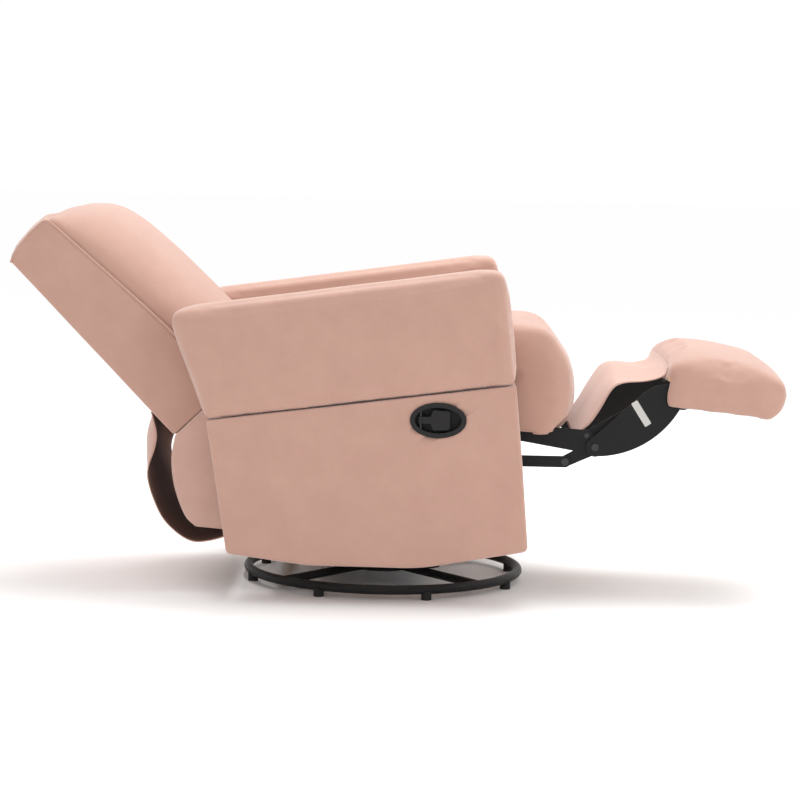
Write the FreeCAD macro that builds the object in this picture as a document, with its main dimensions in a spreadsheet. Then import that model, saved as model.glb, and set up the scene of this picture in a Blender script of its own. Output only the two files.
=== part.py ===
import FreeCAD, Part
import math
import os
from FreeCAD import Placement, Rotation, Vector

# Swivel glider recliner with footrest. Millimetres, +Z up, the chair faces -Y and +X is the sitter's left.
# It stands on the floor at Z = 0 with its swivel axis through the origin, reclined and with the footrest out.
# Side profiles are given as (forward, height) pairs: forward is measured towards -Y.

doc = FreeCAD.newDocument("glider_chair")
sheet = doc.addObject("Spreadsheet::Sheet", "Dimensions")

DIMENSIONS = [
    ("base_ring_radius", 297), ("base_tube_radius", 10), ("base_ring_height", 22),
    ("foot_radius", 11), ("cross_tube_radius", 9), ("hub_radius", 70),
    ("swivel_plate_width", 250), ("swivel_plate_thickness", 4), ("swivel_plate_height", 40),
    ("race_inner_radius", 75), ("race_outer_radius", 105), ("race_height", 4.8),
    ("bearing_ball_radius", 3), ("bearing_ball_circle", 90), ("swivel_bolt_radius", 4),
    ("glide_plate_inner", 150), ("glide_plate_thickness", 4), ("glide_pivot_spacing", 130),
    ("glide_pivot_height", 230), ("glide_link_length", 110), ("glide_link_inner", 158),
    ("glide_rail_inner", 166), ("glide_bolt_radius", 4), ("cross_tube_height", 120),
    ("carriage_tube_radius", 12.5), ("carriage_rail_inner", 244), ("mechanism_plate", 3),
    ("runner_width", 28), ("runner_height", 65), ("runner_bottom", 150),
    ("arm_inner", 275), ("arm_width", 110), ("arm_panel_recess", 6), ("arm_core_thickness", 18),
    ("stretcher_thickness", 18), ("stretcher_height", 60), ("recline_forward", -260), ("recline_height", 300),
    ("hinge_bracket_inner", 250), ("swing_link_inner", 237), ("swing_link_length", 130), ("swing_lean_deg", 4),
    ("seat_rail_inner", 230), ("seat_board_bottom", 381), ("seat_board_height", 60),
    ("seat_board_thickness", 20), ("seat_half_width", 262), ("seat_skirt_thickness", 20), ("seat_spring_radius", 2),
    ("bell_crank_inner", 217), ("outer_link_inner", 223), ("inner_link_inner", 211), ("rivet_radius", 5),
    ("torque_tube_radius", 11), ("torque_tube_bore", 8), ("crank_spacing", 150),
    ("running_clearance", 0.05), ("back_tilt_deg", 44), ("back_half_width", 258),
    ("back_post_inner", 222), ("back_board_thickness", 22), ("back_pocket_half", 254),
    ("pad_tilt_deg", -7), ("pad_half_width", 250), ("pad_skirt", 18), ("pad_board_thickness", 12),
    ("flap_half_width", 238), ("handle_length", 116), ("handle_height", 73), ("handle_pin_radius", 2.5),
]
for row, (alias, value) in enumerate(DIMENSIONS, 1):
    sheet.set("A%d" % row, alias)
    sheet.set("B%d" % row, str(value))
    sheet.setAlias("B%d" % row, alias)
doc.recompute()

SIDES = (("left", 1), ("right", -1))
X_AXIS = Vector(1, 0, 0)
Z_AXIS = Vector(0, 0, 1)
nodes = {}


def dim(alias):
    """Value of one driving dimension."""
    return float(getattr(sheet, alias))


def bind(feature, **sizes):
    """Bind a feature's sizes to spreadsheet expressions."""
    for name, expression in sizes.items():
        feature.setExpression(name, expression)
    return feature


def place(feature, position, rotation=None):
    """Place a feature and hand it back."""
    feature.Placement = Placement(Vector(*position), rotation or Rotation())
    return feature


def keep(label, feature):
    """Register a finished sub-part under its node name."""
    feature.Label = label
    nodes[label] = feature
    return feature


def shift(origin, along, across, tilt):
    """Point (forward, height) at a distance along and across a line tilted by an angle in degrees."""
    turn = math.radians(tilt)
    forward = origin[0] + along * math.cos(turn) - across * math.sin(turn)
    height = origin[1] + along * math.sin(turn) + across * math.cos(turn)
    return (forward, height)


# Outlines are lists of Part curves in the (forward, height) plane.

def segment(start, end):
    return Part.LineSegment(Vector(start[0], start[1], 0), Vector(end[0], end[1], 0))


def arc(start, middle, end):
    return Part.Arc(Vector(start[0], start[1], 0), Vector(middle[0], middle[1], 0), Vector(end[0], end[1], 0))


def polygon(corners):
    return [segment(corners[i - 1], corners[i]) for i in range(len(corners))]


def rounded(corners, radii):
    """Polygon with rounded corners, one radius per corner."""
    count = len(corners)
    starts = []
    ends = []
    middles = []
    for i in range(count):
        corner = Vector(corners[i][0], corners[i][1], 0)
        before = Vector(corners[i - 1][0], corners[i - 1][1], 0) - corner
        after = Vector(corners[(i + 1) % count][0], corners[(i + 1) % count][1], 0) - corner
        half = before.getAngle(after) / 2
        reach = radii[i] / math.tan(half)
        start = corner + before.normalize() * reach
        end = corner + after.normalize() * reach
        bisector = (before + after).normalize()
        middles.append(corner + bisector * (radii[i] / math.sin(half) - radii[i]))
        starts.append(start)
        ends.append(end)
    edges = []
    for i in range(count):
        if radii[i] > 0:
            edges.append(Part.Arc(starts[i], middles[i], ends[i]))
        edges.append(Part.LineSegment(ends[i], starts[(i + 1) % count]))
    return edges


def wrapped(circles):
    """Belt outline around circles (centre, radius) listed anticlockwise."""
    count = len(circles)
    leaving = []
    arriving = []
    for i in range(count):
        (first, first_radius), (second, second_radius) = circles[i], circles[(i + 1) % count]
        span = Vector(second[0] - first[0], second[1] - first[1], 0)
        heading = math.atan2(span.y, span.x)
        normal = heading - math.acos((first_radius - second_radius) / span.Length)
        leaving.append((first, first_radius, normal))
        arriving.append((second, second_radius, normal))
    edges = []
    for i in range(count):
        centre, radius, start_angle = arriving[i - 1]
        end_angle = leaving[i][2]
        while end_angle < start_angle:
            end_angle += 2 * math.pi
        rim = [Vector(centre[0] + radius * math.cos(a), centre[1] + radius * math.sin(a), 0)
               for a in (start_angle, (start_angle + end_angle) / 2, end_angle)]
        edges.append(Part.Arc(*rim))
        after = arriving[i]
        tip = Vector(after[0][0] + after[1] * math.cos(after[2]), after[0][1] + after[1] * math.sin(after[2]), 0)
        edges.append(Part.LineSegment(rim[2], tip))
    return edges


def ribbon(points, thickness):
    """Closed outline of a strip of even thickness along a line of points."""
    upper = []
    lower = []
    for i, point in enumerate(points):
        before = points[max(i - 1, 0)]
        after = points[min(i + 1, len(points) - 1)]
        tangent = Vector(after[0] - before[0], after[1] - before[1], 0).normalize()
        normal = Vector(-tangent.y, tangent.x, 0) * (thickness / 2)
        upper.append((point[0] + normal.x, point[1] + normal.y))
        lower.append((point[0] - normal.x, point[1] - normal.y))
    return polygon(upper + lower[::-1])


def profile(label, outline, inner, thickness, side=0, holes=(), hole_expression=None):
    """Body padded from a side profile. side 0 is centred on X = 0, else inner is the near face's |X|."""
    body = doc.addObject("PartDesign::Body", label + "_body")
    sketch = body.newObject("Sketcher::SketchObject", label + "_sketch")
    plane = [item for item in body.Origin.OriginFeatures if item.Role == "YZ_Plane"][0]
    sketch.AttachmentSupport = [(plane, "")]
    sketch.MapMode = "FlatFace"
    for curve in outline:
        mirrored = []
        for point in (curve.StartPoint, curve.value((curve.FirstParameter + curve.LastParameter) / 2), curve.EndPoint):
            mirrored.append(Vector(-point.x, point.y, 0))
        if isinstance(curve, Part.LineSegment):
            sketch.addGeometry(Part.LineSegment(mirrored[0], mirrored[2]), False)
        else:
            sketch.addGeometry(Part.Arc(*mirrored), False)
    for (forward, height), radius in holes:
        sketch.addGeometry(Part.Circle(Vector(-forward, height, 0), Z_AXIS, radius), False)
    pad = body.newObject("PartDesign::Pad", label + "_pad")
    pad.Profile = sketch
    pad.setExpression("Length", thickness)
    sketch.Visibility = False
    if side == 0:
        body.setExpression("Placement.Base.x", "-(%s) / 2" % thickness)
    elif side > 0:
        body.setExpression("Placement.Base.x", inner)
    else:
        body.setExpression("Placement.Base.x", "-(%s) - (%s)" % (inner, thickness))
    body.Label = label + "_solid"
    return body


def bar(label, start, end, end_radius, inner, side, hole_radius, thickness="Dimensions.mechanism_plate"):
    """Flat link with a pivot hole at each end."""
    outline = wrapped([(start, end_radius), (end, end_radius)])
    return profile(label, outline, inner, thickness, side, [(start, hole_radius), (end, hole_radius)])


def rod(label, point, first, last, radius):
    """Cylinder along X at a (forward, height) point, between two X values; radius is an expression."""
    cylinder = doc.addObject("Part::Cylinder", label)
    bind(cylinder, Radius=radius)
    cylinder.Height = abs(last - first)
    return place(cylinder, (min(first, last), -point[0], point[1]), Rotation(Vector(0, 1, 0), 90))


def pivot(label, point, side, first, last, radius, head_first, head_last, head_scale=1.9):
    """Headed pivot pin along X. first, last and the head's faces are |X| values."""
    shank = rod(label + "_shank", point, side * first, side * last, radius)
    head = rod(label + "_head", point, side * head_first, side * head_last, "%s * %s" % (radius, head_scale))
    return join(label, [shank, head])


def join(label, shapes):
    fused = doc.addObject("Part::MultiFuse", label)
    fused.Shapes = shapes
    return fused


def cut(label, base, tool):
    result = doc.addObject("Part::Cut", label)
    result.Base = base
    result.Tool = tool
    return result


def group(label, members):
    """Several separate solids in one node."""
    compound = doc.addObject("Part::Compound", label)
    compound.Links = members
    return keep(label, compound)


def block(label, size, corner):
    """Box with fixed or bound size. Each size is a number or an expression."""
    box = doc.addObject("Part::Box", label)
    for name, value in zip(("Length", "Width", "Height"), size):
        if isinstance(value, str):
            box.setExpression(name, value)
        else:
            setattr(box, name, value)
    return place(box, corner)


PLATE = "Dimensions.mechanism_plate"
plate = dim("mechanism_plate")
clearance = dim("running_clearance")

# Base: a round tube ring on eight glides, crossed tubes up to a hub, and the lower swivel plate.

ring_torus = doc.addObject("Part::Torus", "ring_torus")
bind(ring_torus, Radius1="Dimensions.base_ring_radius", Radius2="Dimensions.base_tube_radius")
place(ring_torus, (0, 0, dim("base_ring_height")))
keep("base_ring", ring_torus)

FEET = 8
FIRST_FOOT_DEG = 199
feet = []
for index in range(FEET):
    angle = math.radians(FIRST_FOOT_DEG + index * 360 / FEET)
    foot = doc.addObject("Part::Cylinder", "foot_%d" % (index + 1))
    bind(foot, Radius="Dimensions.foot_radius", Height="Dimensions.base_ring_height - 4")
    reach = dim("base_ring_radius")
    feet.append(place(foot, (reach * math.cos(angle), reach * math.sin(angle), 0)))
feet_compound = doc.addObject("Part::Compound", "feet_blanks")
feet_compound.Links = feet
keep("floor_glides", cut("floor_glides_cut", feet_compound, ring_torus))

hub_top = dim("swivel_plate_height")
CROSS_START = 30
cross_end = dim("base_ring_radius") - 4
cross_rise = hub_top - dim("cross_tube_radius") - 0.6 - dim("base_ring_height")
arms_of_cross = []
for index in range(4):
    turn = 45 + 90 * index
    tube = doc.addObject("Part::Cylinder", "cross_arm_%d" % (index + 1))
    bind(tube, Radius="Dimensions.cross_tube_radius")
    tube.Height = math.hypot(cross_end - CROSS_START, cross_rise)
    lean = Rotation(Vector(0, 1, 0), 90 + math.degrees(math.atan2(cross_rise, cross_end - CROSS_START)))
    start = Vector(CROSS_START * math.cos(math.radians(turn)), CROSS_START * math.sin(math.radians(turn)),
                   dim("base_ring_height") + cross_rise)
    arms_of_cross.append(place(tube, start, Rotation(Z_AXIS, turn).multiply(lean)))
hub = doc.addObject("Part::Cylinder", "hub_disc")
bind(hub, Radius="Dimensions.hub_radius", Height="Dimensions.swivel_plate_height - Dimensions.base_ring_height")
place(hub, (0, 0, dim("base_ring_height")))
cross_whole = join("cross_whole", arms_of_cross + [hub])

BOLT_OFFSET = 38
plate_thickness = dim("swivel_plate_thickness")
bolts = []
for index in range(4):
    angle = math.radians(45 + 90 * index)
    spot = (BOLT_OFFSET * math.sqrt(2) * math.cos(angle), BOLT_OFFSET * math.sqrt(2) * math.sin(angle))
    shank = doc.addObject("Part::Cylinder", "swivel_bolt_shank_%d" % (index + 1))
    bind(shank, Radius="Dimensions.swivel_bolt_radius")
    shank.Height = plate_thickness + 20
    place(shank, (spot[0], spot[1], hub_top - 20))
    head = doc.addObject("Part::Prism", "swivel_bolt_head_%d" % (index + 1))
    head.Polygon = 6
    bind(head, Circumradius="Dimensions.swivel_bolt_radius * 1.9")
    head.Height = 5
    place(head, (spot[0], spot[1], hub_top + plate_thickness))
    bolts.append(join("swivel_bolt_%d" % (index + 1), [shank, head]))
group("swivel_bolts", bolts)
keep("base_cross", cut("base_cross_cut", cut("cross_trimmed", cross_whole, ring_torus), nodes["swivel_bolts"]))


def swivel_plate(label, height):
    """Square swivel plate with rounded corners."""
    body = doc.addObject("PartDesign::Body", label + "_body")
    sketch = body.newObject("Sketcher::SketchObject", label + "_sketch")
    plane = [item for item in body.Origin.OriginFeatures if item.Role == "XY_Plane"][0]
    sketch.AttachmentSupport = [(plane, "")]
    sketch.MapMode = "FlatFace"
    half = dim("swivel_plate_width") / 2
    for curve in rounded([(-half, -half), (half, -half), (half, half), (-half, half)], [30] * 4):
        sketch.addGeometry(curve, False)
    pad = body.newObject("PartDesign::Pad", label + "_pad")
    pad.Profile = sketch
    pad.setExpression("Length", "Dimensions.swivel_plate_thickness")
    body.setExpression("Placement.Base.z", height)
    body.Label = label + "_solid"
    return body


lower_plate = swivel_plate("swivel_lower_plate", "Dimensions.swivel_plate_height")
keep("swivel_lower_plate", cut("swivel_lower_plate_cut", lower_plate, nodes["swivel_bolts"]))

race_bottom = hub_top + plate_thickness
ball_height = race_bottom + dim("race_height") + 0.2
upper_race_bottom = ball_height + 0.2


def race(label, bottom, groove_radius):
    """Flat bearing race with a ball groove."""
    outer = doc.addObject("Part::Cylinder", label + "_outer")
    bind(outer, Radius="Dimensions.race_outer_radius", Height="Dimensions.race_height")
    inner = doc.addObject("Part::Cylinder", label + "_inner")
    bind(inner, Radius="Dimensions.race_inner_radius", Height="Dimensions.race_height")
    groove = doc.addObject("Part::Torus", label + "_groove")
    bind(groove, Radius1="Dimensions.bearing_ball_circle")
    groove.Radius2 = groove_radius
    place(outer, (0, 0, bottom))
    place(inner, (0, 0, bottom))
    place(groove, (0, 0, ball_height))
    return keep(label, cut(label + "_cut", cut(label + "_ring", outer, inner), groove))


race("swivel_lower_race", race_bottom, dim("bearing_ball_radius"))
race("swivel_upper_race", upper_race_bottom, dim("bearing_ball_radius") + 0.3)
balls = []
BALLS = 24
for index in range(BALLS):
    angle = math.radians(index * 360 / BALLS)
    ball = doc.addObject("Part::Sphere", "ball_%d" % (index + 1))
    bind(ball, Radius="Dimensions.bearing_ball_radius")
    reach = dim("bearing_ball_circle")
    balls.append(place(ball, (reach * math.cos(angle), reach * math.sin(angle), ball_height)))
group("swivel_balls", balls)

# Turntable: upper swivel plate, two spreaders and two upright glide plates that carry the hanger links.

turntable_bottom = upper_race_bottom + dim("race_height")
keep("swivel_upper_plate", swivel_plate("swivel_upper_plate", "%s" % turntable_bottom))
spreader_bottom = turntable_bottom + plate_thickness
glide_half = dim("glide_pivot_spacing") / 2
SPREADER_SIZE = 20
spreaders = []
for index, forward in enumerate((glide_half, -glide_half)):
    bar_box = block("glide_spreader_%d" % (index + 1), ("2 * Dimensions.glide_plate_inner", SPREADER_SIZE, SPREADER_SIZE),
                    (-dim("glide_plate_inner"), -forward - SPREADER_SIZE / 2, spreader_bottom))
    spreaders.append(bar_box)
group("glide_spreaders", spreaders)

glide_top = dim("glide_pivot_height")
glide_low = glide_top - dim("glide_link_length")
glide_pivots = ((glide_half, glide_top), (-glide_half, glide_top))
glide_bolt = dim("glide_bolt_radius")
GLIDE_END = 14
upper_bolts = []
glide_plates = []
glide_links = {"front": [], "rear": []}
for name, side in SIDES:
    upright = rounded([(-85, spreader_bottom), (85, spreader_bottom), (82, glide_top + 16), (-82, glide_top + 16)],
                      [8, 8, 16, 16])
    window = rounded([(-45, 95), (45, 95), (38, 205), (-38, 205)], [12] * 4)
    holes = [(spot, glide_bolt) for spot in glide_pivots]
    glide_plates.append(profile("glide_plate_" + name, upright + window, "Dimensions.glide_plate_inner",
                                "Dimensions.glide_plate_thickness", side, holes))
    for index, spot in enumerate(glide_pivots):
        label = "glide_bolt_upper_%s_%d" % (name, index + 1)
        upper_bolts.append(pivot(label, spot, side, 149, 162.5, "Dimensions.glide_bolt_radius", 162.5, 165))
        low = (spot[0], glide_low)
        end = "front" if index == 0 else "rear"
        glide_links[end].append(bar("glide_link_%s_%s" % (end, name), low, spot, GLIDE_END,
                                    "Dimensions.glide_link_inner", side, glide_bolt + clearance,
                                    "Dimensions.glide_plate_thickness"))
group("glide_plates", glide_plates)
group("glide_links_front", glide_links["front"])
group("glide_links_rear", glide_links["rear"])
group("glide_bolts_upper", upper_bolts)

# Carriage: inner glide rails, cross tubes, outer rails, runners, rear stretcher and the two arms.

tube_height = dim("cross_tube_height")
CROSS_TUBES = (-155, -225)
SEAT_PIVOTS = ((60, 190), (-150, 190))
recline_axis = (dim("recline_forward"), dim("recline_height"))
tubes = []
for index, forward in enumerate(CROSS_TUBES):
    reach = dim("carriage_rail_inner")
    tubes.append(rod("cross_tube_%d" % (index + 1), (forward, tube_height), -reach, reach,
                     "Dimensions.carriage_tube_radius"))
group("carriage_cross_tubes", tubes)

rivet = dim("rivet_radius")
carriage_pins = []
glide_rails = []
carriage_rails = []
runners = []
for name, side in SIDES:
    rail = rounded([(-242, 104), (88, 104), (88, 136), (-242, 136)], [10] * 4)
    holes = [((spot[0], glide_low), glide_bolt) for spot in glide_pivots]
    holes += [((forward, tube_height), dim("carriage_tube_radius")) for forward in CROSS_TUBES]
    glide_rails.append(profile("glide_rail_" + name, rail, "Dimensions.glide_rail_inner",
                               "Dimensions.glide_plate_thickness", side, holes))
    outer = rounded([(-290, 107), (-135, 107), (-115, 152), (130, 160), (130, 215), (-215, 215),
                     (-236, 322), (-284, 322)], [10, 10, 20, 10, 10, 20, 16, 16])
    holes = [(spot, rivet) for spot in SEAT_PIVOTS + (recline_axis,)]
    carriage_rails.append(profile("carriage_rail_" + name, outer, "Dimensions.carriage_rail_inner", PLATE, side,
                                  holes))
    runner_start = side * (dim("carriage_rail_inner") + plate) if side > 0 else -dim("arm_inner")
    runners.append(block("arm_runner_" + name, ("Dimensions.runner_width", 400, "Dimensions.runner_height"),
                         (runner_start, -110, dim("runner_bottom"))))
    for index, spot in enumerate(glide_pivots):
        label = "glide_bolt_lower_%s_%d" % (name, index + 1)
        carriage_pins.append(pivot(label, (spot[0], glide_low), side, 157.5, 171, "Dimensions.glide_bolt_radius",
                                   155.2, 157.5))
    for index, spot in enumerate(SEAT_PIVOTS):
        label = "swing_pin_lower_%s_%d" % (name, index + 1)
        carriage_pins.append(pivot(label, spot, side, 236.5, 247, "Dimensions.rivet_radius", 234.5, 236.5, 1.6))
    carriage_pins.append(pivot("recline_pin_" + name, recline_axis, side, 244, 253.5, "Dimensions.rivet_radius",
                               253.5, 256, 1.8))
group("glide_rails", glide_rails)
group("carriage_rails", carriage_rails)
group("arm_runners", runners)
group("carriage_pins", carriage_pins)

stretcher_half = dim("arm_inner")
keep("rear_stretcher", block("rear_stretcher", (2 * stretcher_half, "Dimensions.stretcher_thickness",
                                                "Dimensions.stretcher_height"),
                             (-stretcher_half, 310, 100)))

# Arms: a plywood core in each, an upper padded part that stands a little proud, and a lower panel below the seam.

ARM_SEAM_BACK = (-362, 380)
ARM_SEAM_FRONT = (270, 466)
upper_arm = [segment(ARM_SEAM_BACK, ARM_SEAM_FRONT), segment(ARM_SEAM_FRONT, (262, 560)),
             arc((262, 560), (255, 640), (241, 690)), arc((241, 690), (234, 701), (222, 704)),
             segment((222, 704), (-430, 604)), arc((-430, 604), (-445, 598), (-449, 584)),
             segment((-449, 584), ARM_SEAM_BACK)]
lower_arm = [arc((-313, 106), (-20, 79), (300, 122)), arc((300, 122), (303, 124), (304, 128)),
             segment((304, 128), ARM_SEAM_FRONT), segment(ARM_SEAM_FRONT, ARM_SEAM_BACK),
             segment(ARM_SEAM_BACK, (-318, 112)), arc((-318, 112), (-317, 108), (-313, 106))]
core_shape = rounded([(-275, 118), (-20, 92), (285, 134), (245, 560), (218, 688), (-400, 588)],
                     [10, 400, 10, 200, 14, 14])
window_shape = rounded([(-240, 190), (-20, 170), (200, 200), (170, 440), (-300, 380)], [20] * 5)
HANDLE_CENTRE = (113, 391)


def oval(label, length, height, outer_face, depth):
    """Elliptic cylinder in the right arm's outer side; outer_face is its |X|."""
    solid = doc.addObject("Part::Ellipse", label + "_outline")
    solid.MajorRadius = length / 2
    solid.MinorRadius = height / 2
    place(solid, (-outer_face, -HANDLE_CENTRE[0], HANDLE_CENTRE[1]),
          Rotation(Vector(0, -1, 0), Vector(0, 0, 1), Vector(-1, 0, 0), "XYZ"))
    extrusion = doc.addObject("Part::Extrusion", label)
    extrusion.Base = solid
    extrusion.DirMode = "Custom"
    extrusion.Dir = X_AXIS
    extrusion.LengthFwd = depth
    extrusion.Solid = True
    return extrusion


handle_length = dim("handle_length")
handle_height = dim("handle_height")
arm_outer = dim("arm_inner") + dim("arm_width")
panel_face = arm_outer - dim("arm_panel_recess")
CUP_DEPTH = 27
for name, side in SIDES:
    core_inner = "Dimensions.arm_inner + (Dimensions.arm_width - Dimensions.arm_core_thickness) / 2"
    core = profile("arm_core_" + name, core_shape + window_shape, core_inner, "Dimensions.arm_core_thickness", side)
    keep("arm_frame_" + name, core)
    pad_body = profile("arm_pad_blank_" + name, upper_arm, "Dimensions.arm_inner", "Dimensions.arm_width", side)
    keep("arm_pad_" + name, cut("arm_pad_%s_cut" % name, pad_body, core))
    panel_body = profile("arm_panel_blank_" + name, lower_arm, "Dimensions.arm_inner",
                         "Dimensions.arm_width - Dimensions.arm_panel_recess", side)
    panel = cut("arm_panel_%s_cut" % name, panel_body, core)
    if name == "right":
        panel = cut("arm_panel_right_pocket", panel, oval("handle_pocket", handle_length - 12, handle_height - 12,
                                                          panel_face, CUP_DEPTH))
    keep("arm_panel_" + name, panel)

# Release handle: an oval cup with a flange, a T-shaped paddle on an upright pin at the rear of the cup.

FLANGE = 3
WALL = 4
flange = oval("handle_flange", handle_length, handle_height, panel_face + FLANGE, FLANGE)
cup = oval("handle_cup", handle_length - 12, handle_height - 12, panel_face, CUP_DEPTH)
hollow = oval("handle_hollow", handle_length - 20, handle_height - 20, panel_face + FLANGE, CUP_DEPTH + FLANGE - WALL)
paddle_face = panel_face + 1
PADDLE = 8
handle_axis = (paddle_face - PADDLE / 2, HANDLE_CENTRE[0] - 36)
handle_pin = doc.addObject("Part::Cylinder", "handle_pin_rod")
bind(handle_pin, Radius="Dimensions.handle_pin_radius")
handle_pin.Height = 42
place(handle_pin, (-handle_axis[0], -handle_axis[1], HANDLE_CENTRE[1] - 21))
keep("handle_pin", handle_pin)
keep("handle_housing", cut("handle_housing_cut", cut("handle_cup_open", join("handle_cup_whole", [flange, cup]), hollow),
                           handle_pin))
rear = HANDLE_CENTRE[0] - 36
front = HANDLE_CENTRE[0] + 24
mid = HANDLE_CENTRE[1]
paddle_outline = rounded([(rear, mid - 7), (rear + 20, mid - 7), (rear + 26, mid - 21), (front, mid - 19),
                          (front, mid + 19), (rear + 26, mid + 21), (rear + 20, mid + 7), (rear, mid + 7)],
                         [2, 3, 4, 6, 6, 4, 3, 2])
paddle = profile("handle_paddle", paddle_outline, "%s" % (paddle_face - PADDLE), "%s" % PADDLE, -1)
barrel = doc.addObject("Part::Cylinder", "handle_barrel")
bind(barrel, Radius="Dimensions.handle_pin_radius + 3.5")
barrel.Height = 14
place(barrel, (-handle_axis[0], -handle_axis[1], mid - 7))
bore = doc.addObject("Part::Cylinder", "handle_bore")
bind(bore, Radius="Dimensions.handle_pin_radius + Dimensions.running_clearance")
bore.Height = 60
place(bore, (-handle_axis[0], -handle_axis[1], mid - 30))
keep("handle_paddle", cut("handle_paddle_cut", join("handle_paddle_whole", [paddle, barrel]), bore))

# Seat: two pairs of swing links, steel rails with a flange, a wooden box, springs and the cushion.

lean = math.radians(dim("swing_lean_deg"))
swing = dim("swing_link_length")
swing_tops = [(spot[0] - swing * math.sin(lean), spot[1] + swing * math.cos(lean)) for spot in SEAT_PIVOTS]
CRANK_PIVOT = (209.4, 360)
TORQUE_PIVOT = (CRANK_PIVOT[0] - dim("crank_spacing"), CRANK_PIVOT[1])
DRIVE_JOINT = (383, 292)
GUARD_JOINT = (446, 324)
UPPER_JOINT = (428, 348)
PAD_GUARD_JOINT = (630, 430)
PAD_UPPER_JOINT = (612, 454)
CRANK_JOINT = (DRIVE_JOINT[0] - dim("crank_spacing"), DRIVE_JOINT[1])
board_bottom = dim("seat_board_bottom")
board_top = board_bottom + dim("seat_board_height")
for place_name, low, top in (("front", SEAT_PIVOTS[0], swing_tops[0]), ("rear", SEAT_PIVOTS[1], swing_tops[1])):
    links = [bar("seat_link_%s_%s" % (place_name, name), low, top, 14, "Dimensions.swing_link_inner", side,
                 rivet + clearance) for name, side in SIDES]
    group("seat_links_" + place_name, links)

seat_pins = []
seat_rails = []
for name, side in SIDES:
    web = rounded([(-180, 298), (-60, 300), (30, 298), (150, 320), (230, 342), (230, 378), (-180, 378)],
                  [12, 60, 40, 60, 8, 2, 2])
    web_body = profile("seat_rail_web_" + name, web, "Dimensions.seat_rail_inner", PLATE, side,
                       [(spot, rivet) for spot in swing_tops + [CRANK_PIVOT]] + [(TORQUE_PIVOT, rivet + 1)])
    flange_x = 212 if side > 0 else -233
    flange_box = block("seat_rail_flange_" + name, (21, 410, PLATE), (flange_x, -230, 378))
    seat_rails.append(join("seat_rail_" + name, [web_body, flange_box]))
    for index, spot in enumerate(swing_tops):
        seat_pins.append(pivot("swing_pin_upper_%s_%d" % (name, index + 1), spot, side, 230, 240.6,
                               "Dimensions.rivet_radius", 240.6, 242.4, 1.6))
    seat_pins.append(pivot("crank_pin_" + name, CRANK_PIVOT, side, 216.4, 233, "Dimensions.rivet_radius",
                           214.6, 216.4, 1.6))
    seat_pins.append(rod("torque_pin_" + name, TORQUE_PIVOT, side * 200, side * 233, "Dimensions.rivet_radius + 1"))
group("seat_rails", seat_rails)
group("seat_pins", seat_pins)

thick = dim("seat_board_thickness")
BOARD_HALF = 233
SEAT_FRONT = 320
SEAT_REAR = -165
cross_boards = [block("seat_cross_board_%d" % (index + 1), (2 * BOARD_HALF, "Dimensions.seat_board_thickness",
                                                            "Dimensions.seat_board_height"),
                      (-BOARD_HALF, y, board_bottom)) for index, y in enumerate((-SEAT_FRONT, -SEAT_REAR - thick))]
side_boards = []
for name, side in SIDES:
    start = BOARD_HALF - thick if side > 0 else -BOARD_HALF
    side_boards.append(block("seat_side_board_" + name, ("Dimensions.seat_board_thickness",
                                                         SEAT_FRONT - SEAT_REAR - 2 * thick,
                                                         "Dimensions.seat_board_height"),
                             (start, -SEAT_FRONT + thick, board_bottom)))
group("seat_boards", cross_boards + side_boards)

springs = []
for index in range(5):
    spring = doc.addObject("Part::Cylinder", "seat_spring_%d" % (index + 1))
    bind(spring, Radius="Dimensions.seat_spring_radius")
    spring.Height = SEAT_FRONT - SEAT_REAR - 10
    x = -160 + 80 * index
    springs.append(place(spring, (x, -SEAT_FRONT + 5, board_top + dim("seat_spring_radius")),
                         Rotation(X_AXIS, -90)))
group("seat_springs", springs)

cushion_low = board_top + 2 * dim("seat_spring_radius") + 1
cushion_outline = [segment((323, cushion_low), (-150, cushion_low)), segment((-150, cushion_low), (-150, 512)),
                   segment((-150, 512), (262, 591)), arc((262, 591), (310, 592), (345, 579)),
                   arc((345, 579), (388, 520), (401, 437)), arc((401, 437), (397, 385), (370, 346)),
                   arc((370, 346), (350, 336), (330, 341)), segment((330, 341), (323, 350)),
                   segment((323, 350), (323, cushion_low))]
cushion_body = profile("seat_cushion_blank", cushion_outline, "0", "2 * Dimensions.seat_half_width")
rear_roll = profile("seat_rear_roll", polygon([(-150, cushion_low), (-150, 508), (-245, 438), (-245, 424), (-168, 424),
                                                (-168, cushion_low)]), "0", "450")
slots = [block("seat_slot_" + name, (32, 120, 60), (206 if side > 0 else -238, -430, 315)) for name, side in SIDES]
slot_pair = doc.addObject("Part::Compound", "seat_slots")
slot_pair.Links = slots
skirts = [profile("seat_skirt_" + name, polygon([(230, 452), (230, 372), (262, 352), (330, 340), (330, 452)]),
                  "Dimensions.seat_half_width - Dimensions.seat_skirt_thickness", "Dimensions.seat_skirt_thickness",
                  side) for name, side in SIDES]
keep("seat_cushion", cut("seat_cushion_cut", join("seat_cushion_whole", [cushion_body] + skirts), slot_pair))
keep("seat_rear_roll", rear_roll)

# Footrest linkage: a torque tube with cranks, drive links, bell cranks, guard links and upper links.

tube_outer = doc.addObject("Part::Cylinder", "torque_tube_outer")
tube_bore = doc.addObject("Part::Cylinder", "torque_tube_bore_blank")
for cylinder, radius in ((tube_outer, "Dimensions.torque_tube_radius"), (tube_bore, "Dimensions.torque_tube_bore")):
    bind(cylinder, Radius=radius, Height="2 * Dimensions.bell_crank_inner")
    place(cylinder, (-dim("bell_crank_inner"), -TORQUE_PIVOT[0], TORQUE_PIVOT[1]), Rotation(Vector(0, 1, 0), 90))
keep("torque_tube", cut("torque_tube_cut", tube_outer, tube_bore))

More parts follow.
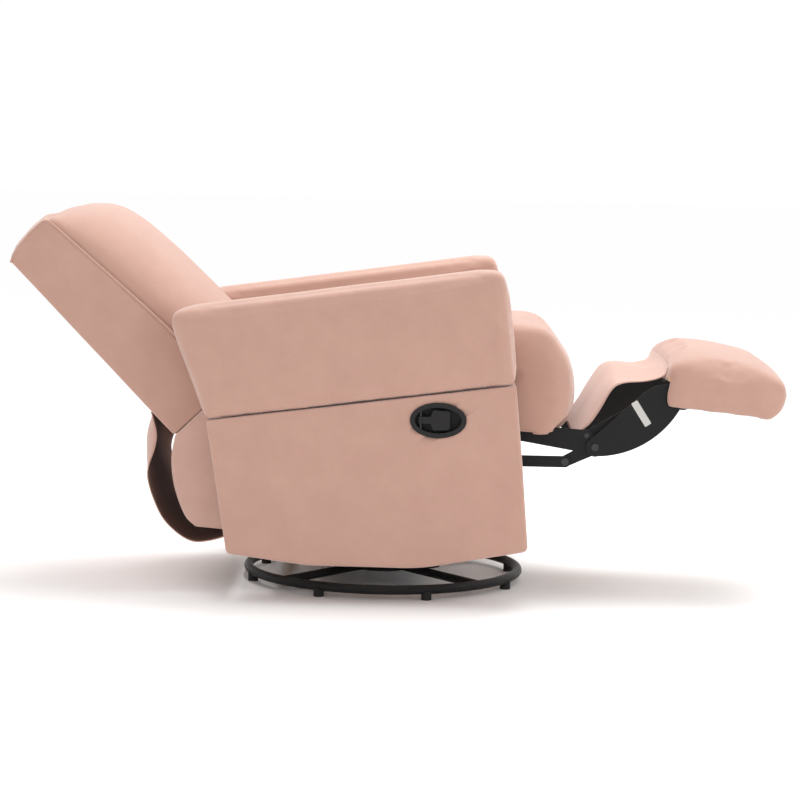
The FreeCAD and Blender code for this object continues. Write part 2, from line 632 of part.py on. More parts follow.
run = rivet + clearance
bell_cranks = []
guards = []
cranks = []
drives = []
uppers = []
linkage_rivets = []
torque_rivets = []
pad_rivets = []
for name, side in SIDES:
    outline = wrapped([(TORQUE_PIVOT, 15), (CRANK_JOINT, 12)])
    cranks.append(profile("torque_crank_" + name, outline, "Dimensions.bell_crank_inner", PLATE, side,
                          [(TORQUE_PIVOT, run + 1), (CRANK_JOINT, rivet)]))
    drives.append(bar("drive_link_" + name, CRANK_JOINT, DRIVE_JOINT, 12, "Dimensions.outer_link_inner", side, run))
    long_arm = profile("bell_crank_arm_" + name, wrapped([(CRANK_PIVOT, 13), (GUARD_JOINT, 16), (UPPER_JOINT, 12)]),
                       "Dimensions.bell_crank_inner", PLATE, side,
                       [(CRANK_PIVOT, run), (GUARD_JOINT, rivet), (UPPER_JOINT, rivet)])
    short_arm = profile("bell_crank_foot_" + name, wrapped([(DRIVE_JOINT, 12), (GUARD_JOINT, 15)]),
                        "Dimensions.bell_crank_inner", PLATE, side, [(DRIVE_JOINT, rivet), (GUARD_JOINT, rivet)])
    bell_cranks.append(join("bell_crank_" + name, [long_arm, short_arm]))
    guard = [arc((437, 342), (426, 322), (452, 305)), arc((452, 305), (545, 331), (622, 408)),
             arc((622, 408), (648, 420), (640, 449)), segment((640, 449), (604, 459)),
             arc((604, 459), (570, 456), (540, 436)), segment((540, 436), (437, 342))]
    guards.append(profile("guard_link_" + name, guard, "Dimensions.outer_link_inner", PLATE, side,
                          [(GUARD_JOINT, run), (PAD_GUARD_JOINT, run)]))
    uppers.append(bar("upper_link_" + name, UPPER_JOINT, PAD_UPPER_JOINT, 9.5, "Dimensions.inner_link_inner", side, run))
    torque_rivets.append(pivot("torque_rivet_" + name, CRANK_JOINT, side, 217, 226.4, "Dimensions.rivet_radius",
                               226.4, 228, 1.6))
    for index, spot in enumerate((DRIVE_JOINT, GUARD_JOINT)):
        linkage_rivets.append(pivot("bell_rivet_%s_%d" % (name, index + 1), spot, side, 217, 226.4,
                                    "Dimensions.rivet_radius", 226.4, 228, 1.6))
    linkage_rivets.append(pivot("bell_rivet_%s_3" % name, UPPER_JOINT, side, 210.6, 220, "Dimensions.rivet_radius",
                                209, 210.6, 1.6))
    pad_rivets.append(pivot("pad_rivet_%s_1" % name, PAD_GUARD_JOINT, side, 217, 226.4, "Dimensions.rivet_radius",
                            226.4, 228, 1.6))
    pad_rivets.append(pivot("pad_rivet_%s_2" % name, PAD_UPPER_JOINT, side, 210.6, 220, "Dimensions.rivet_radius",
                            209, 210.6, 1.5))
group("bell_cranks", bell_cranks)
group("guard_links", guards)
group("torque_cranks", cranks + torque_rivets)
group("drive_links", drives)
group("upper_links", uppers)
group("bell_crank_rivets", linkage_rivets)
group("footrest_rivets", pad_rivets)

# Footrest: brackets under a board, a foam and fabric tray over it, and the apron up from the seat.
# Its own frame starts at the top rear edge: along runs forward, across runs up out of the top.

PAD_CORNER = (598, 502)
pad_tilt = dim("pad_tilt_deg")
SLAB = 34


def on_pad(along, across):
    return shift(PAD_CORNER, along, across, pad_tilt)


board_depth = dim("pad_board_thickness")
pad_top = polygon([on_pad(*corner) for corner in ((0, 0), (0, -92), (223, -88), (247, -62), (254, -27), (246, -10),
                                                  (220, 0))])
pad_crown = polygon([on_pad(*corner) for corner in ((8, -5), (225, -5), (180, 22), (60, 22))])
pad_cavity = polygon([on_pad(*corner) for corner in ((-5, -100), (228, -100), (228, board_depth - SLAB),
                                                     (-5, board_depth - SLAB))])
pad_board = polygon([on_pad(*corner) for corner in ((2, -SLAB), (228, -SLAB), (228, board_depth - SLAB),
                                                    (2, board_depth - SLAB))])
pad_width = "2 * Dimensions.pad_half_width"
cavity_width = "2 * (Dimensions.pad_half_width - Dimensions.pad_skirt)"
pad_whole = join("footrest_cushion_whole", [profile("footrest_slab", pad_top, "0", pad_width),
                                            profile("footrest_crown", pad_crown, "0", "440")])
keep("footrest_cushion", cut("footrest_cushion_cut", pad_whole,
                             profile("footrest_cavity", pad_cavity, "0", cavity_width)))
keep("footrest_board", profile("footrest_board", pad_board, "0", cavity_width))
brackets = []
for name, side in SIDES:
    web = rounded([on_pad(8, -SLAB), on_pad(8, -52), on_pad(30, -82), on_pad(56, -82), on_pad(150, -46),
                   on_pad(160, -SLAB)], [1, 8, 8, 10, 8, 2])
    web_body = profile("footrest_bracket_web_" + name, web, "Dimensions.bell_crank_inner", PLATE, side,
                       [(PAD_GUARD_JOINT, rivet), (PAD_UPPER_JOINT, rivet)])
    foot = polygon([on_pad(10, -SLAB), on_pad(10, -SLAB - plate), on_pad(150, -SLAB - plate), on_pad(150, -SLAB)])
    foot_body = profile("footrest_bracket_foot_" + name, foot, "Dimensions.bell_crank_inner", "15", side)
    brackets.append(join("footrest_bracket_" + name, [web_body, foot_body]))
group("footrest_brackets", brackets)
tab_box = block("footrest_tab_box", (36, 7, 12), (-18, -on_pad(257, -28)[0], on_pad(257, -28)[1] - 6))
keep("footrest_tab", cut("footrest_tab_cut", tab_box, nodes["footrest_cushion"]))
APRON_WIDTH = "2 * Dimensions.inner_link_inner - 10"
APRON = [(399, 346), (430, 377), (477, 448), (530, 468), (594, 484)]
keep("footrest_apron", profile("footrest_apron", ribbon(APRON, 3), "0", APRON_WIDTH))

# Backrest: posts and rails in a pocket of the cushion, springs, a rear panel and hinge brackets.
# Its own frame starts at the low rear corner: up runs along the back, out runs forward out of it.

BACK_CORNER = (-439, 330)
back_tilt = dim("back_tilt_deg")


def on_back(up, out):
    return shift(BACK_CORNER, out, up, back_tilt)


def back_strip(first, last, inner_face, outer_face):
    return polygon([on_back(first, inner_face), on_back(last, inner_face), on_back(last, outer_face),
                    on_back(first, outer_face)])


BACK_HEIGHT = 500
POST_FACE = 12
post_back = POST_FACE + dim("back_board_thickness")
side_profile = polygon([on_back(*corner) for corner in ((0, 0), (500, 0), (513, 30), (518, 80), (515, 118), (186, 147),
                                                       (30, 150), (0, 120))])
crown_profile = polygon([on_back(*corner) for corner in ((512, 112), (478, 190), (409, 236), (280, 262), (154, 270),
                                                        (75, 286), (40, 230), (8, 135), (186, 140))])
back_blank = profile("back_blank", side_profile, "0", "2 * Dimensions.back_half_width")
pocket = profile("back_pocket", back_strip(-20, 486, -5, 42), "0", "2 * Dimensions.back_pocket_half")
crown_blank = profile("back_crown_blank", crown_profile, "0", "450")
keep("back_front_cushion", cut("back_front_cushion_cut", crown_blank, back_blank))
keep("back_cushion", cut("back_cushion_cut", back_blank, pocket))
keep("outer_back_panel", profile("outer_back_panel", back_strip(0, 485.5, 1, 10), "0",
                                 "2 * Dimensions.back_pocket_half - 1"))
spacers = []
posts = []
brackets = []
for name, side in SIDES:
    post = profile("back_post_" + name, back_strip(0, 482, POST_FACE, post_back), "Dimensions.back_post_inner",
                   "Dimensions.back_board_thickness", side)
    posts.append(post)
    for index, up in enumerate((45, 135)):
        spacers.append(rod("back_spacer_%s_%d" % (name, index + 1), on_back(up, 23), side * 244, side * 250,
                           "Dimensions.rivet_radius * 2"))
    corners = ((-170, 96), (-160, 130), (-128, 126), (-6, 37), (160, 37), (160, 13), (-4, 13))
    outline = rounded([on_back(*corner) for corner in corners], [12, 14, 12, 10, 6, 6, 10])
    brackets.append(profile("back_bracket_" + name, outline, "Dimensions.hinge_bracket_inner", PLATE, side,
                            [(recline_axis, rivet + clearance)]))
group("back_posts", posts)
group("back_brackets", brackets)
group("back_spacers", spacers)
rails = [profile("back_rail_%d" % (index + 1), back_strip(low, low + 24, POST_FACE, post_back), "0",
                 "2 * Dimensions.back_post_inner") for index, low in enumerate((0, 229, 458))]
group("back_rails", rails)
back_wires = [rod("back_spring_%d" % (index + 1), on_back(80 + 70 * index, 37), -230, 230,
                  "Dimensions.seat_spring_radius") for index in range(6)]
group("back_springs", back_wires)

# Cloth behind the back: a slack outer flap and a pale lining inside it, both fixed to the rear stretcher.

FLAP = [(-494, 379), (-508, 330), (-507, 280), (-500, 232), (-474, 158), (-440, 120), (-405, 102), (-334, 112)]
keep("outer_back_flap", profile("outer_back_flap", ribbon(FLAP, 3), "0", "2 * Dimensions.flap_half_width"))
LINING = [(-440, 325), (-428, 250), (-413, 164), (-380, 140), (-334, 134)]
keep("back_lining", profile("back_lining", ribbon(LINING, 2), "0", "2 * Dimensions.flap_half_width - 12"))

doc.recompute()
for feature in doc.Objects:
    if "Invalid" in feature.State or "Error" in feature.State:
        raise RuntimeError("feature did not rebuild: " + feature.Name)
os.makedirs("parts", exist_ok=True)
for label, feature in nodes.items():
    shape = feature.Shape
    if shape.isNull() or not shape.isValid():
        raise RuntimeError("bad shape: " + label)
    shape.exportStep("parts/%s.step" % label)
print(len(nodes), "sub-parts written")
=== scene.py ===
import bpy
import bmesh
import math
from mathutils import Matrix, Vector, noise


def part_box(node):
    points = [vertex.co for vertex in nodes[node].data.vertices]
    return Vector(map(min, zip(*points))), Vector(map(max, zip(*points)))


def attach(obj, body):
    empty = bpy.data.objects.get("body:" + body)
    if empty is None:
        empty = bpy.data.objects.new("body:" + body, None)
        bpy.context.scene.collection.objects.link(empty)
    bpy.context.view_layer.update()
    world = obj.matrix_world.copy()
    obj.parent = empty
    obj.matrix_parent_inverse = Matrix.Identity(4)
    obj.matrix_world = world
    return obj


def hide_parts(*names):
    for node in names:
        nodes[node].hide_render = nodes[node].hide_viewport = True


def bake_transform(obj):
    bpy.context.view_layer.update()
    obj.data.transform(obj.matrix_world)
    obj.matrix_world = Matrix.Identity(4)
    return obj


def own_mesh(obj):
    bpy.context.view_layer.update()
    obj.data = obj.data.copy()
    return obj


# A swivel glider nursery chair, reclined with its footrest out. It faces -Y and +X is the sitter's left.

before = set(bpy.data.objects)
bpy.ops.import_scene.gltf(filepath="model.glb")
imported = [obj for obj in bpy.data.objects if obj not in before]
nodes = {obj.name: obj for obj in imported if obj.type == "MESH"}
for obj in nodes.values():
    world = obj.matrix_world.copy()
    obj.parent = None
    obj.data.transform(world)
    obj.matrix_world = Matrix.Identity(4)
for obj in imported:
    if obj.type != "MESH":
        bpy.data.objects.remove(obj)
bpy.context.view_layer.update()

# --- Base ring, cross tubes and swivel plates -----------------------------------------------------------
# A bent steel tube ring, four tubes welded up to a hub, and two pressed plates that turn on a ball race.
# All of it is black powder coat, a little rough, with dust on the upper side.

def new_group(name, inputs, outputs):
    """An empty shader node group with named sockets."""
    group = bpy.data.node_groups.new(name, "ShaderNodeTree")
    for label, kind, value in inputs:
        socket = group.interface.new_socket(label, in_out="INPUT", socket_type=kind)
        if value is not None:
            socket.default_value = value
    for label, kind in outputs:
        group.interface.new_socket(label, in_out="OUTPUT", socket_type=kind)
    entry = group.nodes.new("NodeGroupInput")
    leave = group.nodes.new("NodeGroupOutput")
    return group, entry, leave


def add_node(tree, kind, links=(), **settings):
    """A node with its settings, and (input, source socket or value) links."""
    node = tree.nodes.new(kind)
    for name, value in settings.items():
        setattr(node, name, value)
    for name, source in links:
        if isinstance(source, bpy.types.NodeSocket):
            tree.links.new(source, node.inputs[name])
        else:
            node.inputs[name].default_value = source
    return node


def surface_wear():
    """Fine speckle, broad cloudiness and dust on upward faces."""
    group, entry, leave = new_group(
        "surface_wear",
        [("Grain size", "NodeSocketFloat", 900.0), ("Cloud size", "NodeSocketFloat", 9.0),
         ("Dust", "NodeSocketFloat", 0.2)],
        [("Grain", "NodeSocketFloat"), ("Cloud", "NodeSocketFloat"), ("Dust mask", "NodeSocketFloat")])
    place = add_node(group, "ShaderNodeTexCoord")
    grain = add_node(group, "ShaderNodeTexNoise", [("Vector", place.outputs["Object"]),
                                                   ("Scale", entry.outputs["Grain size"]), ("Detail", 2.0)])
    cloud = add_node(group, "ShaderNodeTexNoise", [("Vector", place.outputs["Object"]),
                                                   ("Scale", entry.outputs["Cloud size"]), ("Detail", 5.0)])
    facing = add_node(group, "ShaderNodeNewGeometry")
    split = add_node(group, "ShaderNodeSeparateXYZ", [(0, facing.outputs["Normal"])])
    upward = add_node(group, "ShaderNodeMapRange", [("Value", split.outputs["Z"]), ("From Min", 0.3)])
    patchy = add_node(group, "ShaderNodeMath", [(0, upward.outputs["Result"]), (1, cloud.outputs["Fac"])],
                      operation="MULTIPLY")
    dust = add_node(group, "ShaderNodeMath", [(0, patchy.outputs[0]), (1, entry.outputs["Dust"])],
                    operation="MULTIPLY")
    group.links.new(grain.outputs["Fac"], leave.inputs["Grain"])
    group.links.new(cloud.outputs["Fac"], leave.inputs["Cloud"])
    group.links.new(dust.outputs[0], leave.inputs["Dust mask"])
    return group


WEAR = surface_wear()


def new_material(name):
    """A material with its Principled shader."""
    material = bpy.data.materials.new(name)
    material.use_nodes = True
    tree = material.node_tree
    return material, tree, tree.nodes["Principled BSDF"]


def mixed(tree, share, first, second):
    """A colour between two others."""
    blend = add_node(tree, "ShaderNodeMix", data_type="RGBA")
    for index, source in ((0, share), (6, first), (7, second)):
        if isinstance(source, bpy.types.NodeSocket):
            tree.links.new(source, blend.inputs[index])
        else:
            blend.inputs[index].default_value = source
    return blend.outputs[2]


def ranged(tree, source, low, high):
    """A 0 to 1 value stretched between two others."""
    return add_node(tree, "ShaderNodeMapRange", [("Value", source), ("From Min", 0.3), ("From Max", 0.7),
                                                 ("To Min", low), ("To Max", high)]).outputs["Result"]


DUST_COLOUR = (0.55, 0.51, 0.47, 1)


def finish_of(name, dark, light, rough, metallic=0.0, grain=900.0, bump=0.1, dust=0.0, depth=0.0003):
    """A painted, plated or moulded surface: two close colours, uneven gloss and a fine grain."""
    material, tree, shader = new_material(name)
    wear = add_node(tree, "ShaderNodeGroup", node_tree=WEAR)
    wear.inputs["Grain size"].default_value = grain
    wear.inputs["Dust"].default_value = dust
    base = mixed(tree, wear.outputs["Cloud"], (*dark, 1), (*light, 1))
    dusty = mixed(tree, wear.outputs["Dust mask"], base, DUST_COLOUR)
    tree.links.new(dusty, shader.inputs["Base Color"])
    roughness = ranged(tree, wear.outputs["Cloud"], rough - 0.06, rough + 0.08)
    tree.links.new(roughness, shader.inputs["Roughness"])
    relief = add_node(tree, "ShaderNodeBump", [("Height", wear.outputs["Grain"]), ("Strength", bump),
                                               ("Distance", depth)])
    tree.links.new(relief.outputs["Normal"], shader.inputs["Normal"])
    shader.inputs["Metallic"].default_value = metallic
    shader.inputs["Specular IOR Level"].default_value = 0.5 if metallic else 0.18
    return material


def paint(material, names):
    """Give whole CAD nodes one material."""
    for name in names:
        piece = nodes[name]
        piece.data.materials.clear()
        piece.data.materials.append(material)


powder_coat = finish_of("black_powder_coat", (0.008, 0.008, 0.009), (0.014, 0.013, 0.013), 0.48, bump=0.25,
                        grain=1400.0, dust=0.10)
paint(powder_coat, ["base_ring", "base_cross", "swivel_lower_plate", "swivel_upper_plate"])
rolled_steel = finish_of("grey_rolled_steel", (0.16, 0.16, 0.165), (0.28, 0.28, 0.29), 0.42, metallic=0.9,
                         grain=700.0)
paint(rolled_steel, ["swivel_lower_race", "swivel_upper_race"])
zinc_plate = finish_of("zinc_plate", (0.50, 0.50, 0.51), (0.66, 0.66, 0.68), 0.30, metallic=1.0, grain=500.0)
paint(zinc_plate, ["swivel_bolts", "swivel_balls"])

# --- Floor glides ---------------------------------------------------------------------------------------
# Eight moulded rubber feet saddled under the ring.

moulded_rubber = finish_of("moulded_rubber", (0.012, 0.012, 0.012), (0.03, 0.029, 0.028), 0.75, grain=600.0,
                           bump=0.3, dust=0.25)
paint(moulded_rubber, ["floor_glides"])

# --- Glide mechanism and carriage -----------------------------------------------------------------------
# Upright plates on the turntable, hanger links on bolts, rails and cross tubes under the seat, wooden
# runners and a rear stretcher that tie the arms together.

paint(powder_coat, ["glide_spreaders", "glide_plates", "glide_rails", "carriage_cross_tubes",
                    "carriage_rails"])
paint(zinc_plate, ["glide_links_front", "glide_links_rear", "glide_bolts_upper", "carriage_pins"])


def timber(name, dark, light):
    """Planed softwood or plywood with long grain."""
    material, tree, shader = new_material(name)
    place = add_node(tree, "ShaderNodeTexCoord")
    along = add_node(tree, "ShaderNodeMapping", [("Vector", place.outputs["Object"])])
    along.inputs["Scale"].default_value = (6.0, 6.0, 60.0)
    rings = add_node(tree, "ShaderNodeTexNoise", [("Vector", along.outputs["Vector"]), ("Scale", 3.0),
                                                  ("Detail", 6.0), ("Distortion", 0.6)])
    tree.links.new(mixed(tree, ranged(tree, rings.outputs["Fac"], 0, 1), (*dark, 1), (*light, 1)),
                   shader.inputs["Base Color"])
    tree.links.new(ranged(tree, rings.outputs["Fac"], 0.55, 0.75), shader.inputs["Roughness"])
    relief = add_node(tree, "ShaderNodeBump", [("Height", rings.outputs["Fac"]), ("Strength", 0.2),
                                               ("Distance", 0.0005)])
    tree.links.new(relief.outputs["Normal"], shader.inputs["Normal"])
    return material


softwood = timber("planed_softwood", (0.36, 0.21, 0.10), (0.58, 0.40, 0.22))
paint(softwood, ["arm_runners", "rear_stretcher", "arm_frame_left", "arm_frame_right"])

# --- Arms -----------------------------------------------------------------------------------------------
# Each arm is a plywood frame in foam and a short-napped woven cover: an upper padded wrap that stands proud,
# and a flatter lower panel. The two covers meet in a sewn seam that climbs towards the front.

def woven_cloth():
    """Crossed threads, a soft nap and slow shading across a cover."""
    group, entry, leave = new_group(
        "woven_cloth",
        [("Threads", "NodeSocketFloat", 900.0), ("Nap size", "NodeSocketFloat", 14.0)],
        [("Height", "NodeSocketFloat"), ("Nap", "NodeSocketFloat"), ("Fleck", "NodeSocketFloat")])
    place = add_node(group, "ShaderNodeTexCoord")
    heights = []
    for direction in ("X", "Y", "Z"):
        wave = add_node(group, "ShaderNodeTexWave", [("Vector", place.outputs["Object"]),
                                                     ("Scale", entry.outputs["Threads"]),
                                                     ("Distortion", 1.5), ("Detail", 1.0)],
                        bands_direction=direction)
        heights.append(wave.outputs["Fac"])
    pair = add_node(group, "ShaderNodeMath", [(0, heights[0]), (1, heights[1])], operation="ADD")
    weave = add_node(group, "ShaderNodeMath", [(0, pair.outputs[0]), (1, heights[2])], operation="ADD")
    nap = add_node(group, "ShaderNodeTexNoise", [("Vector", place.outputs["Object"]),
                                                 ("Scale", entry.outputs["Nap size"]), ("Detail", 6.0),
                                                 ("Roughness", 0.65)])
    fleck = add_node(group, "ShaderNodeTexNoise", [("Vector", place.outputs["Object"]), ("Scale", 1500.0),
                                                   ("Detail", 2.0)])
    group.links.new(weave.outputs[0], leave.inputs["Height"])
    group.links.new(nap.outputs["Fac"], leave.inputs["Nap"])
    group.links.new(fleck.outputs["Fac"], leave.inputs["Fleck"])
    return group


CLOTH = woven_cloth()


def cloth_finish(name, dark, light, threads=900.0, sheen=0.55, bump=0.25):
    """Upholstery cloth: woven bump, nap shading and flecks between two close colours."""
    material, tree, shader = new_material(name)
    weave = add_node(tree, "ShaderNodeGroup", node_tree=CLOTH)
    weave.inputs["Threads"].default_value = threads
    shaded = mixed(tree, ranged(tree, weave.outputs["Nap"], 0, 1), (*dark, 1), (*light, 1))
    fleck = add_node(tree, "ShaderNodeMath", [(0, ranged(tree, weave.outputs["Fleck"], 0, 1)), (1, 0.22)],
                     operation="MULTIPLY")
    tinted = mixed(tree, fleck.outputs[0], shaded, (*[shade * 0.78 for shade in dark], 1))
    tree.links.new(tinted, shader.inputs["Base Color"])
    tree.links.new(ranged(tree, weave.outputs["Nap"], 0.78, 0.92), shader.inputs["Roughness"])
    relief = add_node(tree, "ShaderNodeBump", [("Height", weave.outputs["Height"]), ("Strength", bump),
                                               ("Distance", 0.0004)])
    tree.links.new(relief.outputs["Normal"], shader.inputs["Normal"])
    shader.inputs["Sheen Weight"].default_value = sheen
    shader.inputs["Sheen Roughness"].default_value = 0.45
    shader.inputs["Sheen Tint"].default_value = (1.0, 0.94, 0.91, 1)
    shader.inputs["Specular IOR Level"].default_value = 0.25
    return material


blush_cloth = cloth_finish("blush_upholstery", (0.470, 0.277, 0.218), (0.515, 0.312, 0.248))


CORNER_STEPS = 12


def rounded_outline(corners, spacing):
    """Evenly spaced points on a polygon of (forward, height, corner radius), all in metres."""
    dense = []
    count = len(corners)
    for index in range(count):
        corner = Vector(corners[index][:2])
        before = Vector(corners[index - 1][:2]) - corner
        after = Vector(corners[(index + 1) % count][:2]) - corner
        half = before.angle(after) / 2
        radius = corners[index][2]
        reach = min(radius / math.tan(half), before.length * 0.49, after.length * 0.49)
        start = corner + before.normalized() * reach
        end = corner + after.normalized() * reach
        for step in range(CORNER_STEPS + 1):
            share = step / CORNER_STEPS
            first = start.lerp(corner, share)
            dense.append(first.lerp(corner.lerp(end, share), share))
    dense.append(dense[0])
    total = sum((dense[i + 1] - dense[i]).length for i in range(len(dense) - 1))
    number = max(24, round(total / spacing))
    points = []
    gone = 0.0
    index = 0
    for step in range(number):
        target = total * step / number
        while gone + (dense[index + 1] - dense[index]).length < target:
            gone += (dense[index + 1] - dense[index]).length
            index += 1
        span = (dense[index + 1] - dense[index]).length
        points.append(dense[index].lerp(dense[index + 1], (target - gone) / max(span, 1e-9)))
    return points


def inset(points, depths):
    """The outline pulled inwards, each point by its own depth."""
    count = len(points)
    area = sum(points[i - 1].x * points[i].y - points[i].x * points[i - 1].y for i in range(count))
    turn = 1 if area > 0 else -1
    moved = []
    for index in range(count):
        tangent = (points[(index + 1) % count] - points[index - 1]).normalized()
        moved.append(points[index] + Vector((-tangent.y, tangent.x)) * (depths[index] * turn))
    return moved


EDGE_STEPS = 6
FACE_RINGS = (0.92, 0.8, 0.66, 0.5, 0.34, 0.17)
CROWN_REACH = 0.07
TIGHT_SHARE = 0.22
TIGHT_REACH = 0.045


def padded_slab(name, outline, low, high, edge, crown_low, crown_high, heart, material, across=8, seam=None):
    """A stuffed slab: an outline in the side plane carried from X low to X high, with rolled edges, tight
    along an optional seam line, and faces that swell gently away from their rims."""
    centre = Vector(heart)
    rolls = [edge] * len(outline)
    if seam:
        start, end = Vector(seam[0]), Vector(seam[1])
        for index, point in enumerate(outline):
            offset = abs((end - start).normalized().cross(point - start))
            loose = min(1.0, offset / TIGHT_REACH) ** 1.5
            rolls[index] = edge * (TIGHT_SHARE + (1 - TIGHT_SHARE) * loose)
    rim = inset(outline, rolls)
    rings = []
    for limit, way, crown in ((low, -1, crown_low), (high, 1, crown_high)):
        face = []
        for share in FACE_RINGS[::-1]:
            ring = []
            for index, point in enumerate(rim):
                inner = centre + (point - centre) * share
                depth = min((inner - other).length for other in rim[::4])
                swell = crown * (1 - math.exp(-(depth / CROWN_REACH) ** 2))
                ring.append((limit + way * swell, inner))
            face.append(ring)
        for step in range(EDGE_STEPS, 0, -1):
            angle = math.pi / 2 * step / EDGE_STEPS
            moved = inset(outline, [roll * (1 - math.cos(angle)) for roll in rolls])
            face.append([(limit - way * roll * (1 - math.sin(angle)), point)
                         for roll, point in zip(rolls, moved)])
        rings.append(face)
    walls = []
    for step in range(across + 1):
        share = step / across
        walls.append([(low + roll + (high - low - 2 * roll) * share, point)
                      for roll, point in zip(rolls, outline)])
    shape = bmesh.new()
    rows = []
    for ring in rings[0] + walls + rings[1][::-1]:
        rows.append([shape.verts.new((x, -point.x, point.y)) for x, point in ring])
    count = len(outline)
    for first, second in zip(rows, rows[1:]):
        for index in range(count):
            after = (index + 1) % count
            shape.faces.new((first[index], first[after], second[after], second[index]))
    for row, x in ((rows[0], low - crown_low), (rows[-1], high + crown_high)):
        tip = shape.verts.new((x, -centre.x, centre.y))
        for index in range(count):
            shape.faces.new((row[index], row[(index + 1) % count], tip))
    bmesh.ops.recalc_face_normals(shape, faces=shape.faces)
    return make_piece(name, shape, material)


def make_piece(name, shape, material):
    """A smooth-shaded object from a finished bmesh."""
    mesh = bpy.data.meshes.new(name)
    shape.to_mesh(mesh)
    shape.free()
    mesh.materials.append(material)
    for face in mesh.polygons:
        face.use_smooth = True
    piece = bpy.data.objects.new(name, mesh)
    bpy.context.scene.collection.objects.link(piece)
    return piece


def ripple(piece, depth, size, seed):
    """Small soft unevenness of stuffed cloth, along each point's normal."""
    mesh = piece.data
    moves = [noise.noise(point.co * size + Vector((seed, seed * 2.3, 0))) * depth for point in mesh.vertices]
    normals = [point.normal.copy() for point in mesh.vertices]
    for point, move, normal in zip(mesh.vertices, moves, normals):
        point.co += normal * move


SMOOTHINGS = 3


def even_out(piece, voxel):
    """Replace a closed piece, or several that run into each other, with one evenly meshed skin."""
    remesh = piece.modifiers.new("even_mesh", "REMESH")
    remesh.mode = "VOXEL"
    remesh.voxel_size = voxel
    bpy.context.view_layer.update()
    piece.data = bpy.data.meshes.new_from_object(piece.evaluated_get(bpy.context.evaluated_depsgraph_get()))
    piece.modifiers.clear()
    skin = bmesh.new()
    skin.from_mesh(piece.data)
    for turn in range(SMOOTHINGS):
        bmesh.ops.smooth_vert(skin, verts=skin.verts, factor=0.5, use_axis_x=True, use_axis_y=True,
                              use_axis_z=True)
    skin.to_mesh(piece.data)
    skin.free()
    for face in piece.data.polygons:
        face.use_smooth = True


CLOTH_MASS = 0.3
CLOTH_STRETCH = 12
CLOTH_BEND = 1.5


def inflate(piece, voxel, pressure, cap, frames=16):
    """Blow a closed piece up a little as cloth, so that it fills and creases, and cap how far it moves."""
    even_out(piece, voxel)
    even = piece.data
    start = [point.co.copy() for point in even.vertices]
    cloth = piece.modifiers.new("stuffing", "CLOTH")
    cloth.settings.quality = 5
    cloth.settings.mass = CLOTH_MASS
    cloth.settings.tension_stiffness = CLOTH_STRETCH
    cloth.settings.compression_stiffness = CLOTH_STRETCH
    cloth.settings.bending_stiffness = CLOTH_BEND
    cloth.settings.use_pressure = True
    cloth.settings.uniform_pressure_force = pressure
    cloth.settings.effector_weights.gravity = 0
    cloth.collision_settings.use_collision = False
    cloth.point_cache.frame_start = 1
    cloth.point_cache.frame_end = frames
    scene = bpy.context.scene
    for step in range(1, frames + 1):
        scene.frame_set(step)
    blown = piece.evaluated_get(bpy.context.evaluated_depsgraph_get()).data
    ends = [point.co.copy() for point in blown.vertices]
    piece.modifiers.clear()
    scene.frame_set(1)
    for point, first, last in zip(even.vertices, start, ends):
        move = last - first
        if move.length > cap:
            move *= cap / move.length
        point.co = first + move
    for face in even.polygons:
        face.use_smooth = True


def bead(name, points, radius, material, closed=False):
    """A round cord along a line of points: piping or a raised seam."""
    curve = bpy.data.curves.new(name, "CURVE")
    curve.dimensions = "3D"
    curve.bevel_depth = radius
    curve.bevel_resolution = 3
    spline = curve.splines.new("NURBS")
    spline.points.add(len(points) - 1)
    for target, point in zip(spline.points, points):
        target.co = (*point, 1)
    spline.order_u = 3
    spline.use_endpoint_u = not closed
    spline.use_cyclic_u = closed
    curve.materials.append(material)
    piece = bpy.data.objects.new(name, curve)
    bpy.context.scene.collection.objects.link(piece)
    return piece


def to_mesh(piece):
    """Turn a curve piece into a mesh piece of the same name."""
    name = piece.name
    mesh = bpy.data.meshes.new_from_object(piece.evaluated_get(bpy.context.evaluated_depsgraph_get()))
    bpy.data.objects.remove(piece)
    solid = bpy.data.objects.new(name, mesh)
    bpy.context.scene.collection.objects.link(solid)
    for face in mesh.polygons:
        face.use_smooth = True
    return solid


def carve(piece, cutter):
    """Cut a closed piece with another one, which is then removed."""
    hole = piece.modifiers.new("carve", "BOOLEAN")
    hole.operation = "DIFFERENCE"
    hole.solver = "EXACT"
    hole.object = cutter
    bpy.context.view_layer.update()
    carved = bpy.data.meshes.new_from_object(piece.evaluated_get(bpy.context.evaluated_depsgraph_get()))
    piece.modifiers.clear()
    piece.data = carved
    bpy.data.objects.remove(cutter)


